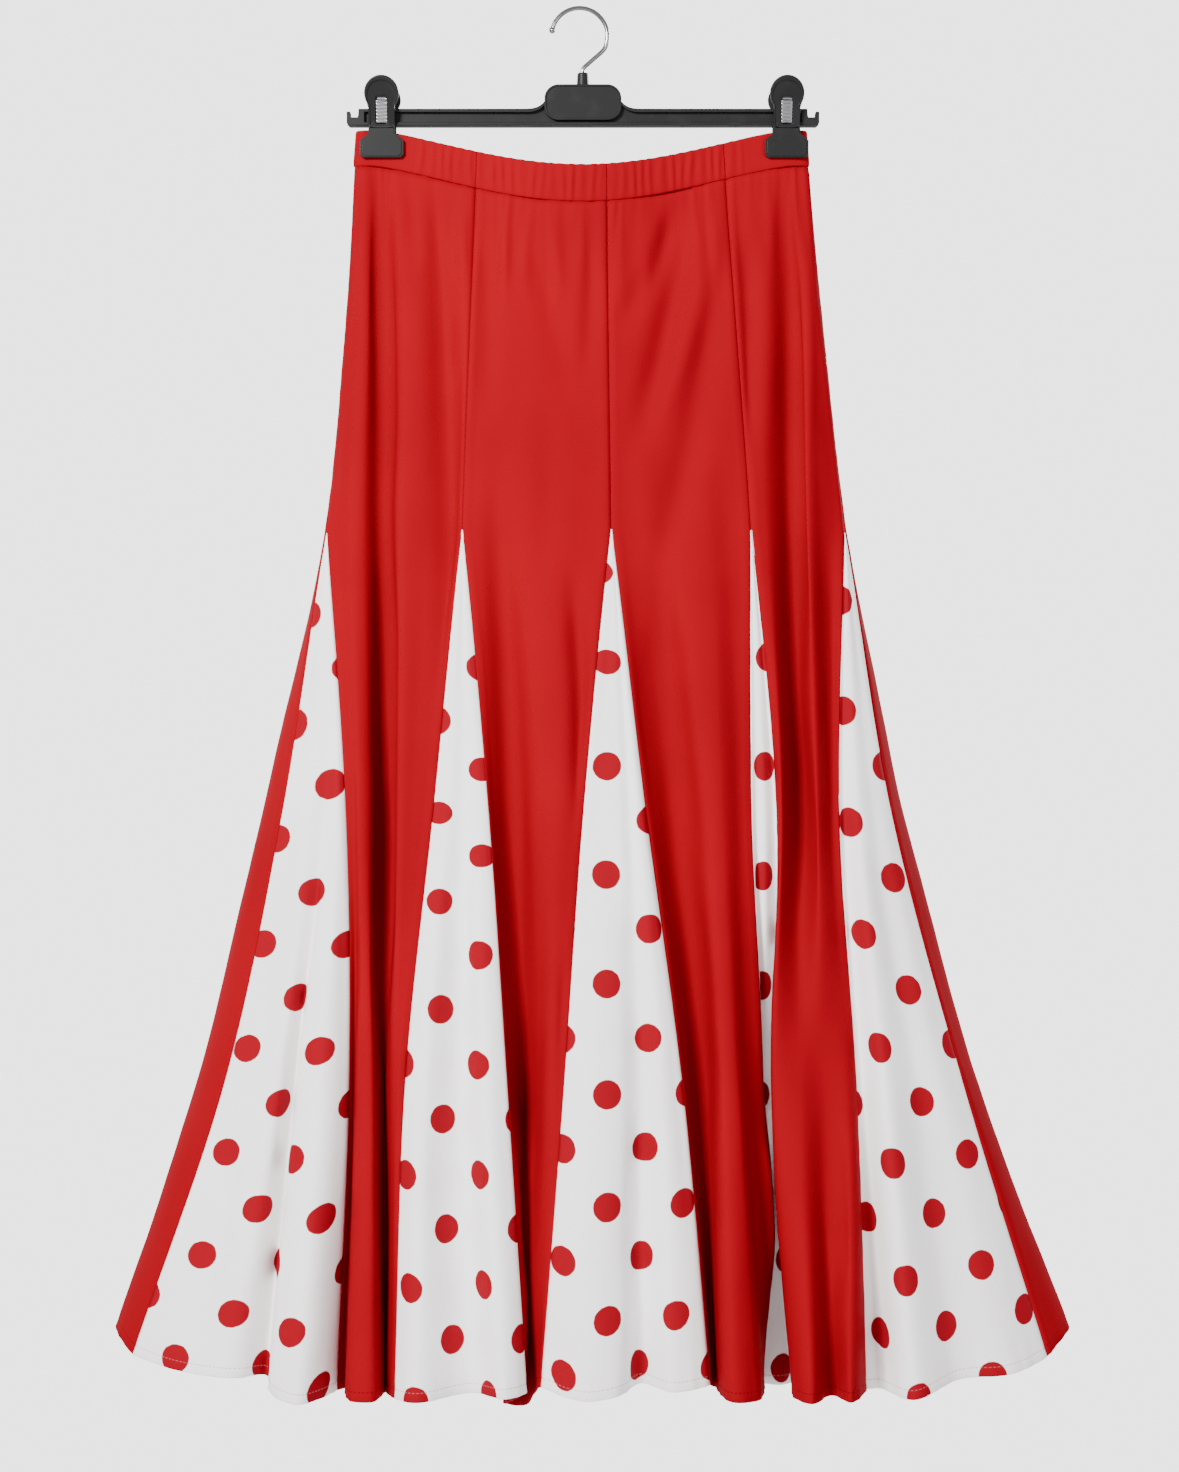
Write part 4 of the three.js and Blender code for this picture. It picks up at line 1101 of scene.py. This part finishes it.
# The steel strip that bends over the bar and shows, ribbed, in both windows
def springPiece(name, x0):
    knots = [Vector((0, y, z)) for y, z in springSide + [(-y, z) for y, z in reversed(springSide[:-1])]]
    path = rowThrough(knots, 24)
    arcs = arcsOf(path)
    rings = []
    for i, point in enumerate(path):
        along = directionAt(path, i)
        out = Vector((0, along.z, -along.y))
        rib = spring["rib"] * cos(2 * pi * arcs[i] / spring["ribPitch"])
        row = [(point + Vector((x0 + spring["halfWidth"] * s, 0, 0)), rib * (1 - s**6)) for s in springAcross]
        front = [spot + out * (spring["half"] + arch) for spot, arch in row]
        rings.append(front + [spot + out * (arch - spring["half"]) for spot, arch in reversed(row)])
    bm = bmesh.new()
    skin(bm, rings)
    return asPiece(bm, name, True)


place(barPiece(), "hanger_bar", "black_plastic")
place(hookPiece(), "hanger_hook", "chrome_wire")
for side, x0 in clips["places"].items():
    for lever, way in ((f"{side}_front_lever", 1), (f"{side}_back_lever", -1)):
        place(leverPiece(lever, x0, way), "clip_" + lever, "black_plastic")
    place(springPiece(f"{side}_spring", x0), f"clip_{side}_spring", "spring_steel")
print("hanger built")
# Stage: a floor far below the skirt, and a backdrop that is brighter than its light on the skirt
stage = {"floor": -2.6, "half": 8.0, "forward": -2.6, "glow": 0.75, "backdrop": 3.2}
pale = (0.97, 0.97, 0.98, 1)
bm = bmesh.new()
bmesh.ops.create_grid(bm, x_segments=1, y_segments=1, size=stage["half"])
ground = meshObject(bm, "floor")
ground.location = (0, stage["forward"], stage["floor"])
ground.data.materials.append(Graph("pale floor").finish(Base_Color=(0.93, 0.93, 0.93, 1), Roughness=0.9))
bpy.context.collection.objects.link(ground)

world = bpy.data.worlds.new("pale world")
world.use_nodes = True
sky = world.node_tree
glow, backdrop = sky.nodes["Background"], sky.nodes.new("ShaderNodeBackground")
for shade, strength in ((glow, stage["glow"]), (backdrop, stage["backdrop"])):
    shade.inputs["Color"].default_value = pale
    shade.inputs["Strength"].default_value = strength
isSeen = sky.nodes.new("ShaderNodeLightPath")
either = sky.nodes.new("ShaderNodeMixShader")
sky.links.new(isSeen.outputs["Is Camera Ray"], either.inputs[0])
sky.links.new(glow.outputs[0], either.inputs[1])
sky.links.new(backdrop.outputs[0], either.inputs[2])
sky.links.new(either.outputs[0], sky.nodes["World Output"].inputs["Surface"])
bpy.context.scene.world = world


def addLight(name, spot, width, power, target=(0, 0, -0.6)):
    data = bpy.data.lights.new(name, "AREA")
    data.size, data.energy = width, power
    lamp = bpy.data.objects.new(name, data)
    lamp.location = spot
    lamp.rotation_euler = (Vector(target) - Vector(spot)).to_track_quat("-Z", "Y").to_euler()
    bpy.context.collection.objects.link(lamp)


addLight("key", spot=(-1.4, -2.3, 0.7), width=0.7, power=200, target=(0, 0, -0.55))
addLight("fill", spot=(1.6, -2.3, -0.1), width=1.4, power=28)
addLight("back right", spot=(2.0, 1.9, 0.6), width=0.9, power=130)
addLight("back left", spot=(-2.1, 2.0, 0.1), width=1.2, power=55)
